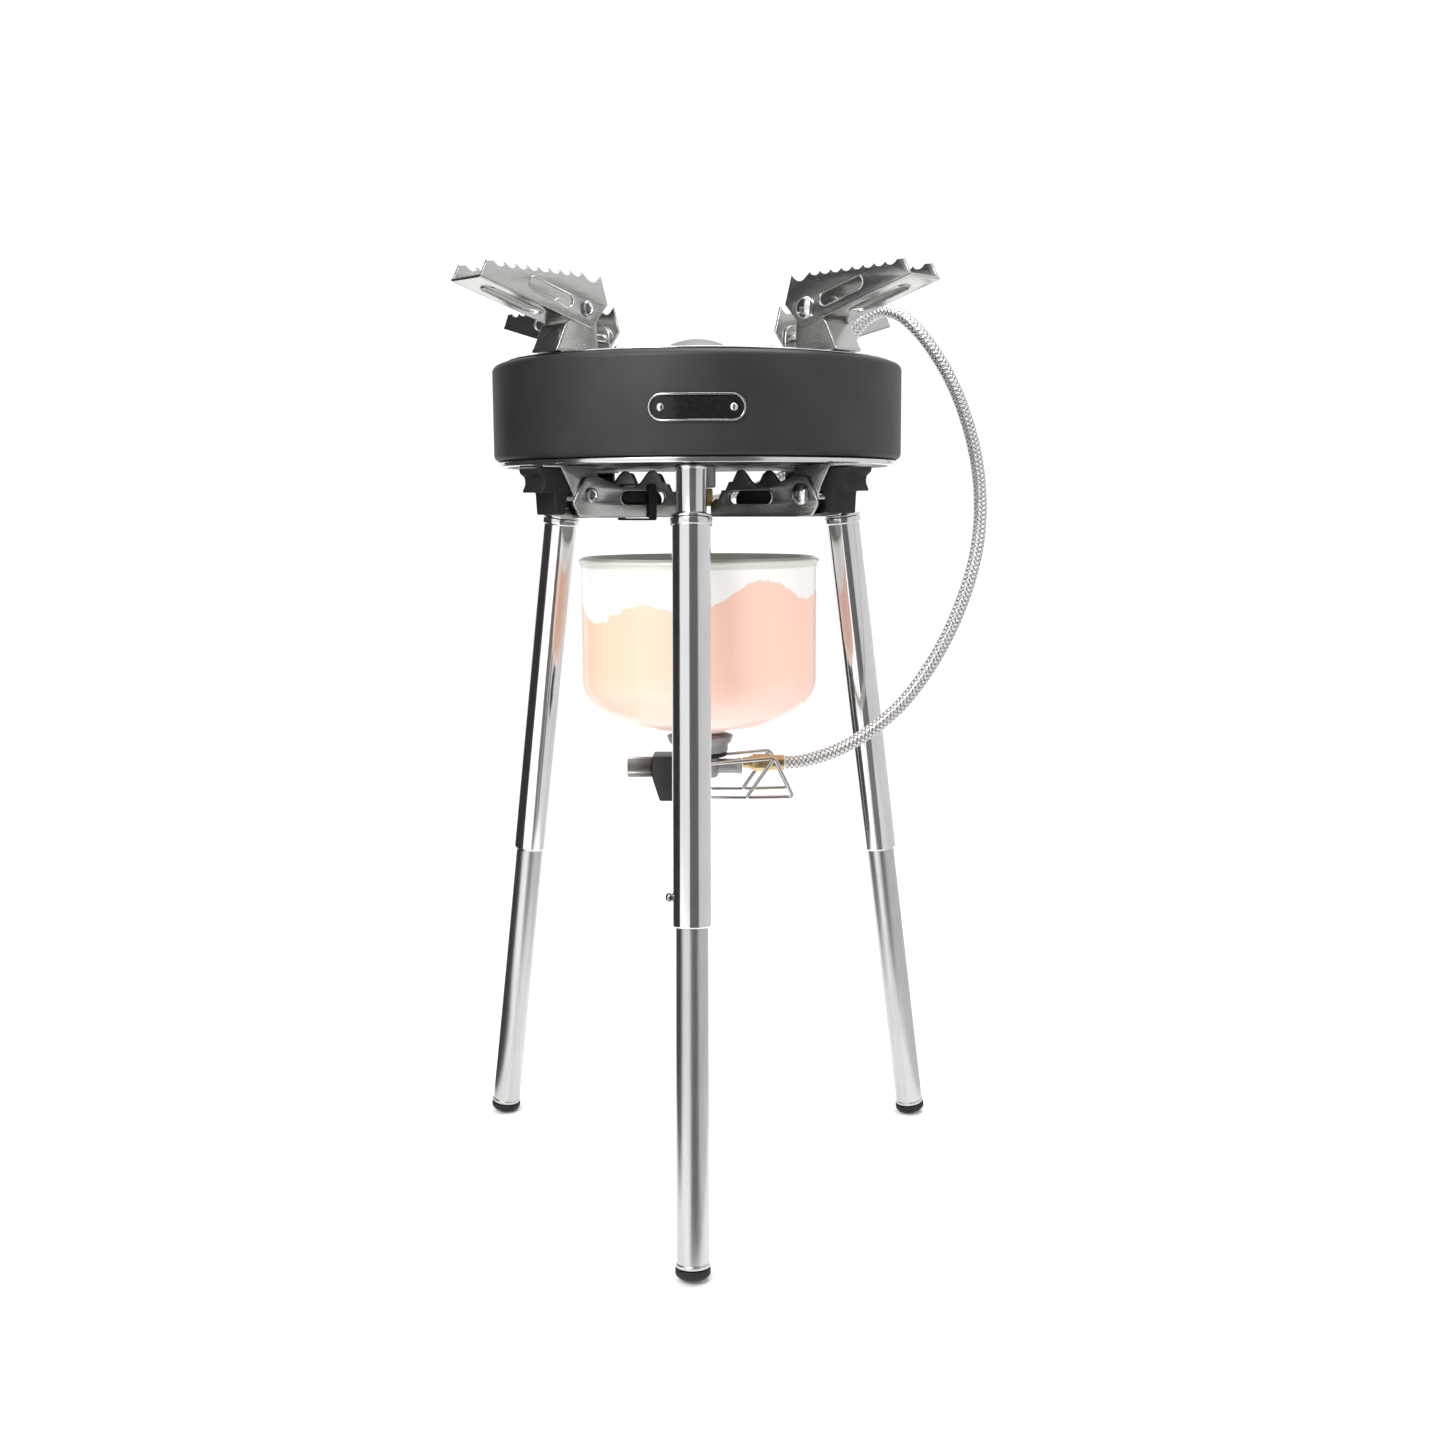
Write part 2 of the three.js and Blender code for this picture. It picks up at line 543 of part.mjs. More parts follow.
function valveUnit() {
  const { z, seatZ, blockX, bodyEndX, nutEndX } = VALVE;
  const collar = turned(ringProfile([
    [6, seatZ - 2], [12.8, seatZ - 2], [13, seatZ + 1.2], [14.4, seatZ + 2.6], [15.4, seatZ + 5.4],
    [14.4, seatZ + 5.4], [13.2, seatZ + 3.2], [6, seatZ + 3.2],
  ]), 24);
  const hub = turned([[0, z - 6.5], [8, z - 6.5], [9, z - 4], [9, seatZ - 1], [0, seatZ - 1]], 16);
  const arm = bar([-10, 0, z - 1.6], [bodyEndX, 0, z - 1.6], 3.4, 12);
  add("valve_body", joined(collar, hub, arm), castAlloy);

  const block = outline([
    [blockX, z + 4], [blockX, z - 6], [blockX + 3.4, z - 16.8], [-11, z - 16.8], [-11, z + 4],
  ]);
  const lug = box(-12, -5.6, -13.6, 13.6, z - 10.5, z - 7);
  const wireHoles = [-1, 1].map((side) =>
    bar([WIRE_HINGE.x, side * WIRE_HINGE.y, z - 20], [WIRE_HINGE.x, side * WIRE_HINGE.y, z], 1.3, 8),
  );
  add("valve_foot_block", cut(joined(across(block, 17), lug), ...wireHoles), blackPlastic);

  const knobZ = z - 2;
  const knobEnd = blockX - 11.7;
  const knob = new THREE.Shape();
  const ribs = 20;
  for (let i = 0; i < 2 * ribs; i += 1) {
    const [angle, r] = [(Math.PI * i) / ribs, i % 2 ? 4.4 : 4.8];
    const [px, py] = [r * Math.cos(angle), r * Math.sin(angle)];
    if (i === 0) knob.moveTo(px, py);
    else knob.lineTo(px, py);
  }
  const knobSolid = new THREE.ExtrudeGeometry(knob, { depth: 11.7 - GAP, bevelEnabled: false })
    .rotateY(Math.PI / 2)
    .translate(knobEnd, 0, knobZ);
  add("valve_knob", knobSolid, gunmetal);

  const hexStart = bodyEndX + GAP;
  const thinPart = bar([hexStart, 0, z], [hexStart + 5, 0, z], 2.6, 12);
  const hexPart = bar([hexStart + 4.5, 0, z], [hexStart + 13, 0, z], 4, 6);
  const ferrule = bar([hexStart + 12.5, 0, z], [nutEndX, 0, z], 3.6, 16);
  add("hose_nut", joined(thinPart, hexPart, ferrule), brass);
}

// A wire foot: an upright that turns beside the block, a top run, a triangle and a floor run.
function wireFoot(name, side, reach) {
  const wire = 0.9;
  const hinge = [WIRE_HINGE.x, side * WIRE_HINGE.y];
  const place = (x, z) => [x, side * (WIRE_HINGE.y + (x - WIRE_HINGE.x) * 0.02), z];
  const top = place(reach - 8.5, 196.4);
  const outer = place(reach, 178.4);
  const inner = place(reach - 21.5, 178);
  const low = [...hinge, 178];
  const high = [...hinge, 192.6];
  const runs = [[low, high], [high, top], [top, outer], [outer, inner], [inner, top], [inner, low]];
  const bars = runs.map(([from, to]) => bar(from, to, wire, 6));
  const knees = [low, high, top, outer, inner].map((point) => ball(point, wire * 1.03));
  add(name, joined(...bars, ...knees), polishedSteel);
}

// ---------------------------------------------------------------- braided hose
const HOSE_DIAMETER = 6.2;
const hoseRoute = [
  [0, 96.1, 315], [0.6, 104, 315], [4, 113, 315.4], [12, 121, 317], [24, 124.6, 320], [37, 122.6, 325],
  [50, 115.6, 331.4], [60, 104, 338.6], [66.5, 91.4, 347], [69.5, 80.4, 356.4], [69.8, 71.6, 366.4],
  [69.6, 64, 376.2], [70.4, 57.4, 385.2], [73.6, 52, 393], [79.4, 47, 399], [86.6, 41.4, 401.8],
  [94.4, 35.4, 398.8], [102.4, 31.4, 391], [110.9, 30, 379.6], [118.8, 29.4, 365.6], [124.9, 28.6, 350], [129.2, 27.4, 333.6], [131.2, 25.6, 317.6],
  [131, 22.8, 300.8], [128.4, 19.4, 284.8], [123, 16, 267.4], [115.6, 13, 250.4], [106, 10.4, 234],
  [94, 8, 218.6], [80, 5.6, 206.8], [65.6, 3, 198.6], [53, 1, 194.2], [45, 0.2, 192.7], [39.5, 0, 192.5],
];

function hose() {
  const curve = new THREE.CatmullRomCurve3(hoseRoute.map((point) => new THREE.Vector3(...point)), false, "centripetal");
  const section = new THREE.Shape();
  section.absarc(0, 0, HOSE_DIAMETER / 2, 0, 2 * Math.PI);
  const options = { steps: 40, curveSegments: 4, bevelEnabled: false, extrudePath: curve };
  add("hose", new THREE.ExtrudeGeometry(section, options), braid);
}

// ---------------------------------------------------------------- assembly
ringShell();
basePlate();
topPlate();
burner();
gasFeed();
badge();
ARM_AZIMUTHS.forEach((degrees, i) => {
  const above = azimuthGroup(degrees + RING_TURN);
  supportBracket(i + 1, above);
  potSupport(i + 1, above);
  pivotPin(`support_pin_${i + 1}`, SUPPORT_PIVOT, above);
  const below = azimuthGroup(degrees + SHORT_LEGS_TURN);
  shortLegBracket(i + 1, below);
  shortLeg(i + 1, below);
  pivotPin(`short_leg_pin_${i + 1}`, SHORT_LEG_PIVOT, below);
  hoseCleat(i + 1, below);
});
LEG_AZIMUTHS.forEach((degrees, i) => tripodLeg(i + 1, degrees, BUTTON_SIDES[i]));
canister();
valveUnit();
wireFoot("wire_foot_near", -1, 43);
wireFoot("wire_foot_far", 1, 41);
hose();

export default stove;
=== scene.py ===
# Looks for the tripod camping stove. Lengths are in millimetres, which MM turns into metres, apart from
# the studio's lengths and the depths of bumps, which are in metres.
import bmesh
import bpy
from math import asin, atan, atan2, cos, pi, radians, sin, sqrt
from mathutils import Matrix, Vector


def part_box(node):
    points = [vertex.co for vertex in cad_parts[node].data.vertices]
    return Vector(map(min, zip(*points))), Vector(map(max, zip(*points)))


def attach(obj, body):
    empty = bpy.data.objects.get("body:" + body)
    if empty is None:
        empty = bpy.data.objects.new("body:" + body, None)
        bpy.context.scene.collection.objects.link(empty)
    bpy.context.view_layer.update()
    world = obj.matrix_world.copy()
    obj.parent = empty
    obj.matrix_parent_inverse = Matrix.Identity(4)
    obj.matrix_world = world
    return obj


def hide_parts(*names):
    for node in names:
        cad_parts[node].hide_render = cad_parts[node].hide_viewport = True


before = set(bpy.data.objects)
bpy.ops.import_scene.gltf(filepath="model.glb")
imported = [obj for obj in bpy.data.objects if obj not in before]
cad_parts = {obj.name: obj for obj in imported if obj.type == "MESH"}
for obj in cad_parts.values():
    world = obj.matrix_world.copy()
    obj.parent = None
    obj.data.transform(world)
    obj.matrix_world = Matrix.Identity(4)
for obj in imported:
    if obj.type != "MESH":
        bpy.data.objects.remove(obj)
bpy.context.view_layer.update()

MM = 0.001
GAP = 0.3  # between touching pieces, as in the frame
SHARP_ANGLE = radians(35)  # edges sharper than this stay crisp


def in_mm(node):
    low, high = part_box(node)
    return low / MM, high / MM


# -------------------------------- places taken from the frame
ring_low, ring_high = in_mm("ring_shell")
AXIS = (ring_low + ring_high) / 2
AXIS.z = 0
RING_RADIUS = (ring_high.x - ring_low.x) / 2
RING_BOTTOM, RING_TOP = ring_low.z, ring_high.z
BASE_THICKNESS, TOP_THICKNESS = 2.2, 0.8
BASE_BOTTOM = RING_BOTTOM - GAP - BASE_THICKNESS

ARM_AZIMUTHS = {1: 225, 2: 315, 3: 45, 4: 135}
RING_TURN, SHORT_LEGS_TURN = 2, 1.2
LEG_AZIMUTHS = {1: 270, 2: 30, 3: 150}
BUTTON_SIDES = {1: -1, 2: 1, 3: -1}
ARM_WIDTH = 19
SHEET, HANGER_SHEET = 1.2, 0.9
BRACKET_WIDTH = ARM_WIDTH - 2 * SHEET - 2 * GAP
SUPPORT_PIVOT = (73, 391.5)
SHORT_LEG_PIVOT = (71.5, 315.5)
SLOT_Z = SHORT_LEG_PIVOT[1] - 1
PIN_RADIUS = 2.4

LEG_TOP_RADIUS, LEG_TOP_Z, FOOT_RADIUS = 77.9, 305.6, 121.5
LEG_TILT = atan((FOOT_RADIUS - LEG_TOP_RADIUS) / LEG_TOP_Z)
CAP_RADIUS, SOLE_RADIUS, CAP_HEIGHT = 7.2, 5.6, 4
FOOT_LIFT = SOLE_RADIUS * sin(LEG_TILT)
TUBE, INNER_TUBE, TUBE_WALL = 8, 6.7, 0.8
UPPER_TUBE_LENGTH = 166
TUBE_OVERLAP = 17
LEG_TRAVEL = 137
BUTTON_FROM_END = 12

VALVE_Z, SEAT_Z, BLOCK_X, BODY_END_X, NUT_END_X = 192.5, 200, -22, 19.5, 39.2
WIRE_HINGE = (-8.4, 11.2)


def along_leg(z):
    return (z - FOOT_LIFT) / cos(LEG_TILT)


LEG_LENGTH = along_leg(LEG_TOP_Z)

STOVE = Matrix.Translation(AXIS)
RING_PLACE = STOVE @ Matrix.Rotation(radians(RING_TURN), 4, "Z")


def arm_place(index, turn):
    return STOVE @ Matrix.Rotation(radians(ARM_AZIMUTHS[index] + turn), 4, "Z")


def leg_place(index):
    turn = Matrix.Rotation(radians(LEG_AZIMUTHS[index]), 4, "Z")
    foot = Matrix.Translation((FOOT_RADIUS, 0, FOOT_LIFT))
    return STOVE @ turn @ foot @ Matrix.Rotation(-LEG_TILT, 4, "Y")


# -------------------------------- mesh tools
LAID_FLAT = Matrix.Rotation(-pi / 2, 4, "X")  # from a plate's XZ plane to XY, and from Z to Y
ONTO_X = Matrix.Rotation(pi / 2, 4, "Y")


def lathe(profile, segments=96, ring=False):
    """A profile of (radius, z) points turned about Z, as a bmesh."""
    bm = bmesh.new()
    rows = []
    for radius, z in profile:
        if radius < 1e-6:
            rows.append([bm.verts.new((0, 0, z))] * segments)
            continue
        angles = (2 * pi * j / segments for j in range(segments))
        rows.append([bm.verts.new((radius * cos(a), radius * sin(a), z)) for a in angles])
    pairs = list(zip(rows, rows[1:])) + ([(rows[-1], rows[0])] if ring else [])
    for lower, upper in pairs:
        for j in range(segments):
            k = (j + 1) % segments
            corners = [lower[j], lower[k], upper[k], upper[j]]
            kept = [v for i, v in enumerate(corners) if v not in corners[:i]]
            if len(kept) > 2:
                bm.faces.new(kept)
    return bm


def fillet(points, radius, steps=3, closed=False):
    """The same outline with each corner turned into a small arc."""
    points = [Vector(p) for p in points]
    out = []
    for i, here in enumerate(points):
        if not closed and i in (0, len(points) - 1):
            out.append(tuple(here))
            continue
        before, after = points[i - 1], points[(i + 1) % len(points)]
        to_before, to_after = before - here, after - here
        reach = min(radius, to_before.length * 0.45, to_after.length * 0.45)
        start = here + to_before.normalized() * reach
        end = here + to_after.normalized() * reach
        for step in range(steps + 1):
            t = step / steps
            out.append(tuple(start * (1 - t) ** 2 + here * 2 * t * (1 - t) + end * t**2))
    return out


def circle(x, y, radius, points=32):
    angles = (2 * pi * i / points for i in range(points))
    return [(x + radius * cos(a), y + radius * sin(a)) for a in angles]


def stadium(start, end, width, steps=10):
    """A slot's outline, with round ends."""
    along = atan2(end[1] - start[1], end[0] - start[0])
    out = []
    for centre, first in ((end, along - pi / 2), (start, along + pi / 2)):
        for i in range(steps + 1):
            angle = first + pi * i / steps
            out.append((centre[0] + width / 2 * cos(angle), centre[1] + width / 2 * sin(angle)))
    return out


def plate(outline, holes, thickness, bevel=0.2, middle=0.0):
    """A flat piece in the XZ plane, middle being its place along Y, with softly rounded edges."""
    curve = bpy.data.curves.new("plate", "CURVE")
    curve.dimensions = "2D"
    curve.fill_mode = "BOTH"
    curve.extrude = thickness / 2 - bevel
    curve.bevel_depth = bevel
    curve.bevel_resolution = 2
    curve.offset = -bevel
    for loop in [outline, *holes]:
        spline = curve.splines.new("POLY")
        spline.points.add(len(loop) - 1)
        spline.use_cyclic_u = True
        for point, (x, y) in zip(spline.points, loop):
            point.co = (x, y, 0, 1)
    holder = bpy.data.objects.new("plate", curve)
    bpy.context.scene.collection.objects.link(holder)
    bpy.context.view_layer.update()
    flat = bpy.data.meshes.new_from_object(holder.evaluated_get(bpy.context.evaluated_depsgraph_get()))
    bpy.data.objects.remove(holder)
    bpy.data.curves.remove(curve)
    bm = bmesh.new()
    bm.from_mesh(flat)
    bpy.data.meshes.remove(flat)
    upright = Matrix.Translation((0, middle, 0)) @ Matrix.Rotation(pi / 2, 4, "X")
    bmesh.ops.transform(bm, matrix=upright, verts=bm.verts)
    return bm


def moved(bm, matrix):
    bmesh.ops.transform(bm, matrix=matrix, verts=bm.verts)
    return bm


def merged(*parts):
    whole = bmesh.new()
    for part in parts:
        carrier = bpy.data.meshes.new("carrier")
        part.to_mesh(carrier)
        part.free()
        whole.from_mesh(carrier)
        bpy.data.meshes.remove(carrier)
    return whole


def drilled(shape, *drills):
    """The shape with the drills' solids cut out of it."""
    holders = []
    for part in (shape, merged(*drills)):
        bmesh.ops.recalc_face_normals(part, faces=part.faces)
        mesh = bpy.data.meshes.new("drilled")
        part.to_mesh(mesh)
        part.free()
        holders.append(bpy.data.objects.new("drilled", mesh))
        bpy.context.scene.collection.objects.link(holders[-1])
    cut = holders[0].modifiers.new("holes", "BOOLEAN")
    cut.operation = "DIFFERENCE"
    cut.solver = "EXACT"
    cut.object = holders[1]
    bpy.context.view_layer.update()
    result = bpy.data.meshes.new_from_object(holders[0].evaluated_get(bpy.context.evaluated_depsgraph_get()))
    bm = bmesh.new()
    bm.from_mesh(result)
    bpy.data.meshes.remove(result)
    for holder in holders:
        mesh = holder.data
        bpy.data.objects.remove(holder)
        bpy.data.meshes.remove(mesh)
    return bm


def sweep(points, radius, sides=16, closed=False):
    """A round bar along points, with a UV map: U round it, V the distance along it in mm."""
    points = [Vector(p) for p in points]
    count = len(points)
    bm = bmesh.new()
    uv = bm.loops.layers.uv.new("along")
    normal = None
    rings, distances, walked = [], [], 0.0
    for i, here in enumerate(points):
        ahead = points[(i + 1) % count] if closed or i < count - 1 else here
        behind = points[i - 1] if closed or i else here
        tangent = (ahead - behind).normalized()
        if normal is None:
            normal = tangent.orthogonal().normalized()
        normal = (normal - tangent * normal.dot(tangent)).normalized()
        across = tangent.cross(normal)
        if i:
            walked += (here - points[i - 1]).length
        distances.append(walked)
        angles = [2 * pi * j / sides for j in range(sides)]
        rings.append([bm.verts.new(here + (normal * cos(a) + across * sin(a)) * radius) for a in angles])
    spans = [(i, i + 1) for i in range(count - 1)] + ([(count - 1, 0)] if closed else [])
    for i, k in spans:
        for j in range(sides):
            n = (j + 1) % sides
            face = bm.faces.new((rings[i][j], rings[i][n], rings[k][n], rings[k][j]))
            corners = ((j, i), (j + 1, i), (j + 1, k), (j, k))
            for loop, (u, v) in zip(face.loops, corners):
                loop[uv].uv = (u / sides, distances[v])
    if not closed:
        bm.faces.new(rings[0][::-1])
        bm.faces.new(rings[-1])
    return bm


def prism(outline, z0, z1, bevel=0.4):
    """An outline in XY between two heights, with rounded edges."""
    return moved(plate(outline, [], z1 - z0, bevel), Matrix.Translation((0, 0, (z0 + z1) / 2)) @ LAID_FLAT)


def polygon(radius, corners, first=0):
    angles = (radians(first) + 2 * pi * i / corners for i in range(corners))
    return [(radius * cos(a), radius * sin(a)) for a in angles]


def rod(start, end, radius, sides=32):
    return sweep([start, (Vector(start) + Vector(end)) / 2, end], radius, sides)


def turned_between(start, direction, profile, segments=48):
    """A lathe whose own Z runs along direction from start."""
    turn = Vector((0, 0, 1)).rotation_difference(Vector(direction)).to_matrix().to_4x4()
    return moved(lathe(profile, segments), Matrix.Translation(start) @ turn)


# -------------------------------- materials
def new_material(name, colour, roughness, metallic=0.0):
    material = bpy.data.materials.new(name)
    material.use_nodes = True
    nodes, links = material.node_tree.nodes, material.node_tree.links
    shader = nodes["Principled BSDF"]
    shader.inputs["Base Color"].default_value = (*colour, 1)
    shader.inputs["Roughness"].default_value = roughness
    shader.inputs["Metallic"].default_value = metallic
    return material, nodes, links, shader


def object_space(nodes, links, scale):
    """Object coordinates in millimetres, stretched by scale."""
    place = nodes.new("ShaderNodeTexCoord")
    mapping = nodes.new("ShaderNodeMapping")
    mapping.inputs["Scale"].default_value = [s / MM for s in scale]
    links.new(place.outputs["Object"], mapping.inputs["Vector"])
    return mapping.outputs["Vector"]


def noise(nodes, links, vector, scale=1.0, detail=4, rough=0.55):
    node = nodes.new("ShaderNodeTexNoise")
    node.inputs["Scale"].default_value = scale
    node.inputs["Detail"].default_value = detail
    node.inputs["Roughness"].default_value = rough
    links.new(vector, node.inputs["Vector"])
    return node.outputs["Fac"]


def grained(nodes, links, stretch, detail=4, rough=0.55):
    """Noise in object space, finer along the axes that stretch makes larger."""
    return noise(nodes, links, object_space(nodes, links, stretch), 1.0, detail, rough)


def object_axes(nodes, links):
    place = nodes.new("ShaderNodeTexCoord")
    split = nodes.new("ShaderNodeSeparateXYZ")
    links.new(place.outputs["Object"], split.inputs[0])
    return [split.outputs[axis] for axis in "XYZ"]


def ramp(nodes, links, value, *stops):
    node = nodes.new("ShaderNodeValToRGB")
    elements = node.color_ramp.elements
    while len(elements) < len(stops):
        elements.new(0.5)
    for element, (position, colour) in zip(elements, stops):
        element.position = position
        element.color = (*colour, 1)
    links.new(value, node.inputs["Fac"])
    return node.outputs["Color"]


def spread(nodes, links, value, low, high, start=0.0, end=1.0):
    """Maps start..end onto low..high."""
    node = nodes.new("ShaderNodeMapRange")
    node.inputs["From Min"].default_value = start
    node.inputs["From Max"].default_value = end
    node.inputs["To Min"].default_value = low
    node.inputs["To Max"].default_value = high
    links.new(value, node.inputs["Value"])
    return node.outputs["Result"]


def bump(nodes, links, shader, height, strength, distance):
    node = nodes.new("ShaderNodeBump")
    node.inputs["Strength"].default_value = strength
    node.inputs["Distance"].default_value = distance
    links.new(height, node.inputs["Height"])
    links.new(node.outputs["Normal"], shader.inputs["Normal"])


def blend(nodes, links, factor, below, above):
    """One colour where factor is 0 and another where it is 1."""
    node = nodes.new("ShaderNodeMix")
    node.data_type = "RGBA"
    links.new(factor, node.inputs[0])
    links.new(below, node.inputs[6])
    node.inputs[7].default_value = (*above, 1)
    return node.outputs[2]


def grey(value, tint=(1, 1, 1)):
    return tuple(value * t for t in tint)


def mottled(nodes, links, value, shade, darker, lighter, start=0.3, end=0.75):
    """A grey that varies from shade * darker to shade * lighter as value rises."""
    return ramp(nodes, links, value, (start, grey(shade * darker)), (end, grey(shade * lighter)))


def math_node(nodes, links, operation, first, second=None):
    node = nodes.new("ShaderNodeMath")
    node.operation = operation
    for socket, value in zip(node.inputs, (first, second)):
        if isinstance(value, (int, float)):
            socket.default_value = value
        elif value is not None:
            links.new(value, socket)
    return node.outputs[0]


def coated_black():
    material, nodes, links, shader = new_material("black_coat", grey(0.035), 0.5)
    space = object_space(nodes, links, (1, 1, 1))
    cloud = noise(nodes, links, space, 0.03, 3)
    tone = ramp(nodes, links, cloud, (0.3, (0.014, 0.014, 0.015)), (0.75, (0.022, 0.022, 0.023)))
    links.new(tone, shader.inputs["Base Color"])
    grain = noise(nodes, links, space, 2.2, 5, 0.6)
    links.new(spread(nodes, links, grain, 0.42, 0.6), shader.inputs["Roughness"])
    bump(nodes, links, shader, grain, 0.12, 0.0002)
    shader.inputs["Specular IOR Level"].default_value = 0.45
    return material


def brushed(name, stretch, value=0.62, rough=(0.2, 0.42), tint=(1, 0.985, 0.96), waves=0.0):
    """Brushed sheet; waves adds the soft unevenness that pressing leaves."""
    material, nodes, links, shader = new_material(name, grey(value, tint), 0.3, 1)
    streak = grained(nodes, links, stretch, 5, 0.65)
    cloud = grained(nodes, links, (0.045, 0.045, 0.045), 2)
    tone = ramp(nodes, links, streak, (0.3, grey(value * 0.86, tint)), (0.7, grey(value * 1.12, tint)))
    links.new(tone, shader.inputs["Base Color"])
    mean = math_node(nodes, links, "MULTIPLY", math_node(nodes, links, "ADD", streak, cloud), 0.5)
    links.new(spread(nodes, links, mean, *rough), shader.inputs["Roughness"])
    height = math_node(nodes, links, "ADD", streak, math_node(nodes, links, "MULTIPLY", cloud, waves))
    bump(nodes, links, shader, height, 0.1, 0.0001)
    return material


def polished(name="polished_steel", value=0.78):
    material, nodes, links, shader = new_material(name, grey(value), 0.1, 1)
    streak = grained(nodes, links, (2.5, 2.5, 0.03))
    smear = grained(nodes, links, (0.06, 0.06, 0.02), 3)
    links.new(mottled(nodes, links, smear, value, 0.93, 1.05, end=0.7), shader.inputs["Base Color"])
    links.new(spread(nodes, links, streak, 0.06, 0.2), shader.inputs["Roughness"])
    bump(nodes, links, shader, streak, 0.02, 0.0001)
    return material


def cast(name="cast_alloy", value=0.36):
    material, nodes, links, shader = new_material(name, grey(value), 0.5, 0.9)
    grain = grained(nodes, links, (1.6, 1.6, 1.6), 6, 0.7)
    links.new(mottled(nodes, links, grain, value, 0.75, 1.2), shader.inputs["Base Color"])
    links.new(spread(nodes, links, grain, 0.36, 0.62), shader.inputs["Roughness"])
    bump(nodes, links, shader, grain, 0.25, 0.0002)
    return material


def yellow_metal(name, colour, rough=(0.16, 0.34)):
    material, nodes, links, shader = new_material(name, colour, 0.25, 1)
    grain = grained(nodes, links, (0.9, 0.9, 0.9))
    darker = tuple(c * 0.8 for c in colour)
    links.new(ramp(nodes, links, grain, (0.3, darker), (0.7, colour)), shader.inputs["Base Color"])
    links.new(spread(nodes, links, grain, *rough), shader.inputs["Roughness"])
    return material


def soft_black(name, value, rough, scale, strength):
    material, nodes, links, shader = new_material(name, grey(value), rough)
    grain = noise(nodes, links, object_space(nodes, links, (1, 1, 1)), scale, 5, 0.6)
    links.new(mottled(nodes, links, grain, value, 0.75, 1.4), shader.inputs["Base Color"])
    links.new(spread(nodes, links, grain, rough - 0.1, rough + 0.08), shader.inputs["Roughness"])
    bump(nodes, links, shader, grain, strength, 0.0002)
    shader.inputs["Specular IOR Level"].default_value = 0.32
    return material


def braided():
    """Steel braid under a clear sleeve: two sets of strands cross, each strand a bundle of wires."""
    material, nodes, links, shader = new_material("braid", grey(0.7), 0.28, 1)
    uv = nodes.new("ShaderNodeUVMap")
    uv.uv_map = "along"
    split = nodes.new("ShaderNodeSeparateXYZ")
    links.new(uv.outputs["UV"], split.inputs[0])
    strands, pitch, wires_in_strand = 6, 13.0, 3
    around = math_node(nodes, links, "MULTIPLY", split.outputs["X"], strands)
    along = math_node(nodes, links, "MULTIPLY", split.outputs["Y"], strands / pitch)
    right = math_node(nodes, links, "ADD", around, along)
    left = math_node(nodes, links, "SUBTRACT", around, along)

    def wave(value, times):
        turned = math_node(nodes, links, "MULTIPLY", value, 2 * pi * times)
        return math_node(nodes, links, "SINE", turned)

    def strand(value):
        """Wires side by side in a strand that is round across its width."""
        crown = math_node(nodes, links, "ABSOLUTE", wave(value, 0.5))
        wires = spread(nodes, links, wave(value, wires_in_strand), 0, 0.35, start=-1)
        return math_node(nodes, links, "ADD", math_node(nodes, links, "MULTIPLY", crown, 0.65), wires)

    cell = math_node(nodes, links, "MULTIPLY", wave(right, 0.5), wave(left, 0.5))
    over = math_node(nodes, links, "GREATER_THAN", cell, 0)
    pick = nodes.new("ShaderNodeMix")
    links.new(over, pick.inputs["Factor"])
    links.new(strand(right), pick.inputs["A"])
    links.new(strand(left), pick.inputs["B"])
    height = pick.outputs["Result"]
    # painted shade near black in the grooves between strands and wires, and painted highlight near white on
    # their crowns
    tone = ramp(nodes, links, height, (0.2, grey(0.03)), (0.5, grey(0.48)), (0.85, grey(0.95)))
    links.new(tone, shader.inputs["Base Color"])
    bump(nodes, links, shader, height, 0.9, 0.0004)
    shader.inputs["Coat Weight"].default_value = 0.6
    shader.inputs["Coat Roughness"].default_value = 0.12
    return material


def printed_canister():
    """A soft plain print: warm below, white above, with rolling hills as the edge between them."""
    hill_line, seam_line, pale_end, warm_start = 266, 283.4, 207, 238
    material, nodes, links, shader = new_material("canister_print", (0.95, 0.6, 0.4), 0.3)
    x, y, z = object_axes(nodes, links)
    angle = math_node(nodes, links, "ARCTAN2", y, x)

    def added(first, second):
        return math_node(nodes, links, "ADD", first, second)

    def hills(count, shift, size):
        turned = added(math_node(nodes, links, "MULTIPLY", angle, count), shift)
        return math_node(nodes, links, "MULTIPLY", math_node(nodes, links, "SINE", turned), size * MM)

    brush = grained(nodes, links, (0.22, 0.22, 0.02))
    ragged = math_node(nodes, links, "MULTIPLY", brush, 7 * MM)
    edge = added(added(hills(2, 3.14, 6), hills(6, 1.36, 4)), ragged)
    above = math_node(nodes, links, "SUBTRACT", z, added(edge, hill_line * MM))
    past_hills = spread(nodes, links, above, 0, 1, -0.4 * MM, 0.4 * MM)
    side = spread(nodes, links, x, 0, 1, -30 * MM, 20 * MM)
    warm = ramp(nodes, links, side, (0.1, (0.8, 0.51, 0.38)), (0.9, (0.8, 0.5, 0.4)))
    fade = spread(nodes, links, z, 0.45, 0, pale_end * MM, warm_start * MM)
    white_part = math_node(nodes, links, "MAXIMUM", past_hills, fade)
    printed = blend(nodes, links, white_part, warm, (0.78, 0.76, 0.74))
    seam = spread(nodes, links, z, 0, 1, seam_line * MM, (seam_line + 0.5) * MM)
    links.new(blend(nodes, links, seam, printed, (0.56, 0.56, 0.5)), shader.inputs["Base Color"])
    fine = grained(nodes, links, (0.5, 0.5, 0.5), 3)
    links.new(spread(nodes, links, fine, 0.24, 0.36), shader.inputs["Roughness"])
    shader.inputs["Coat Weight"].default_value = 0.3
    return material


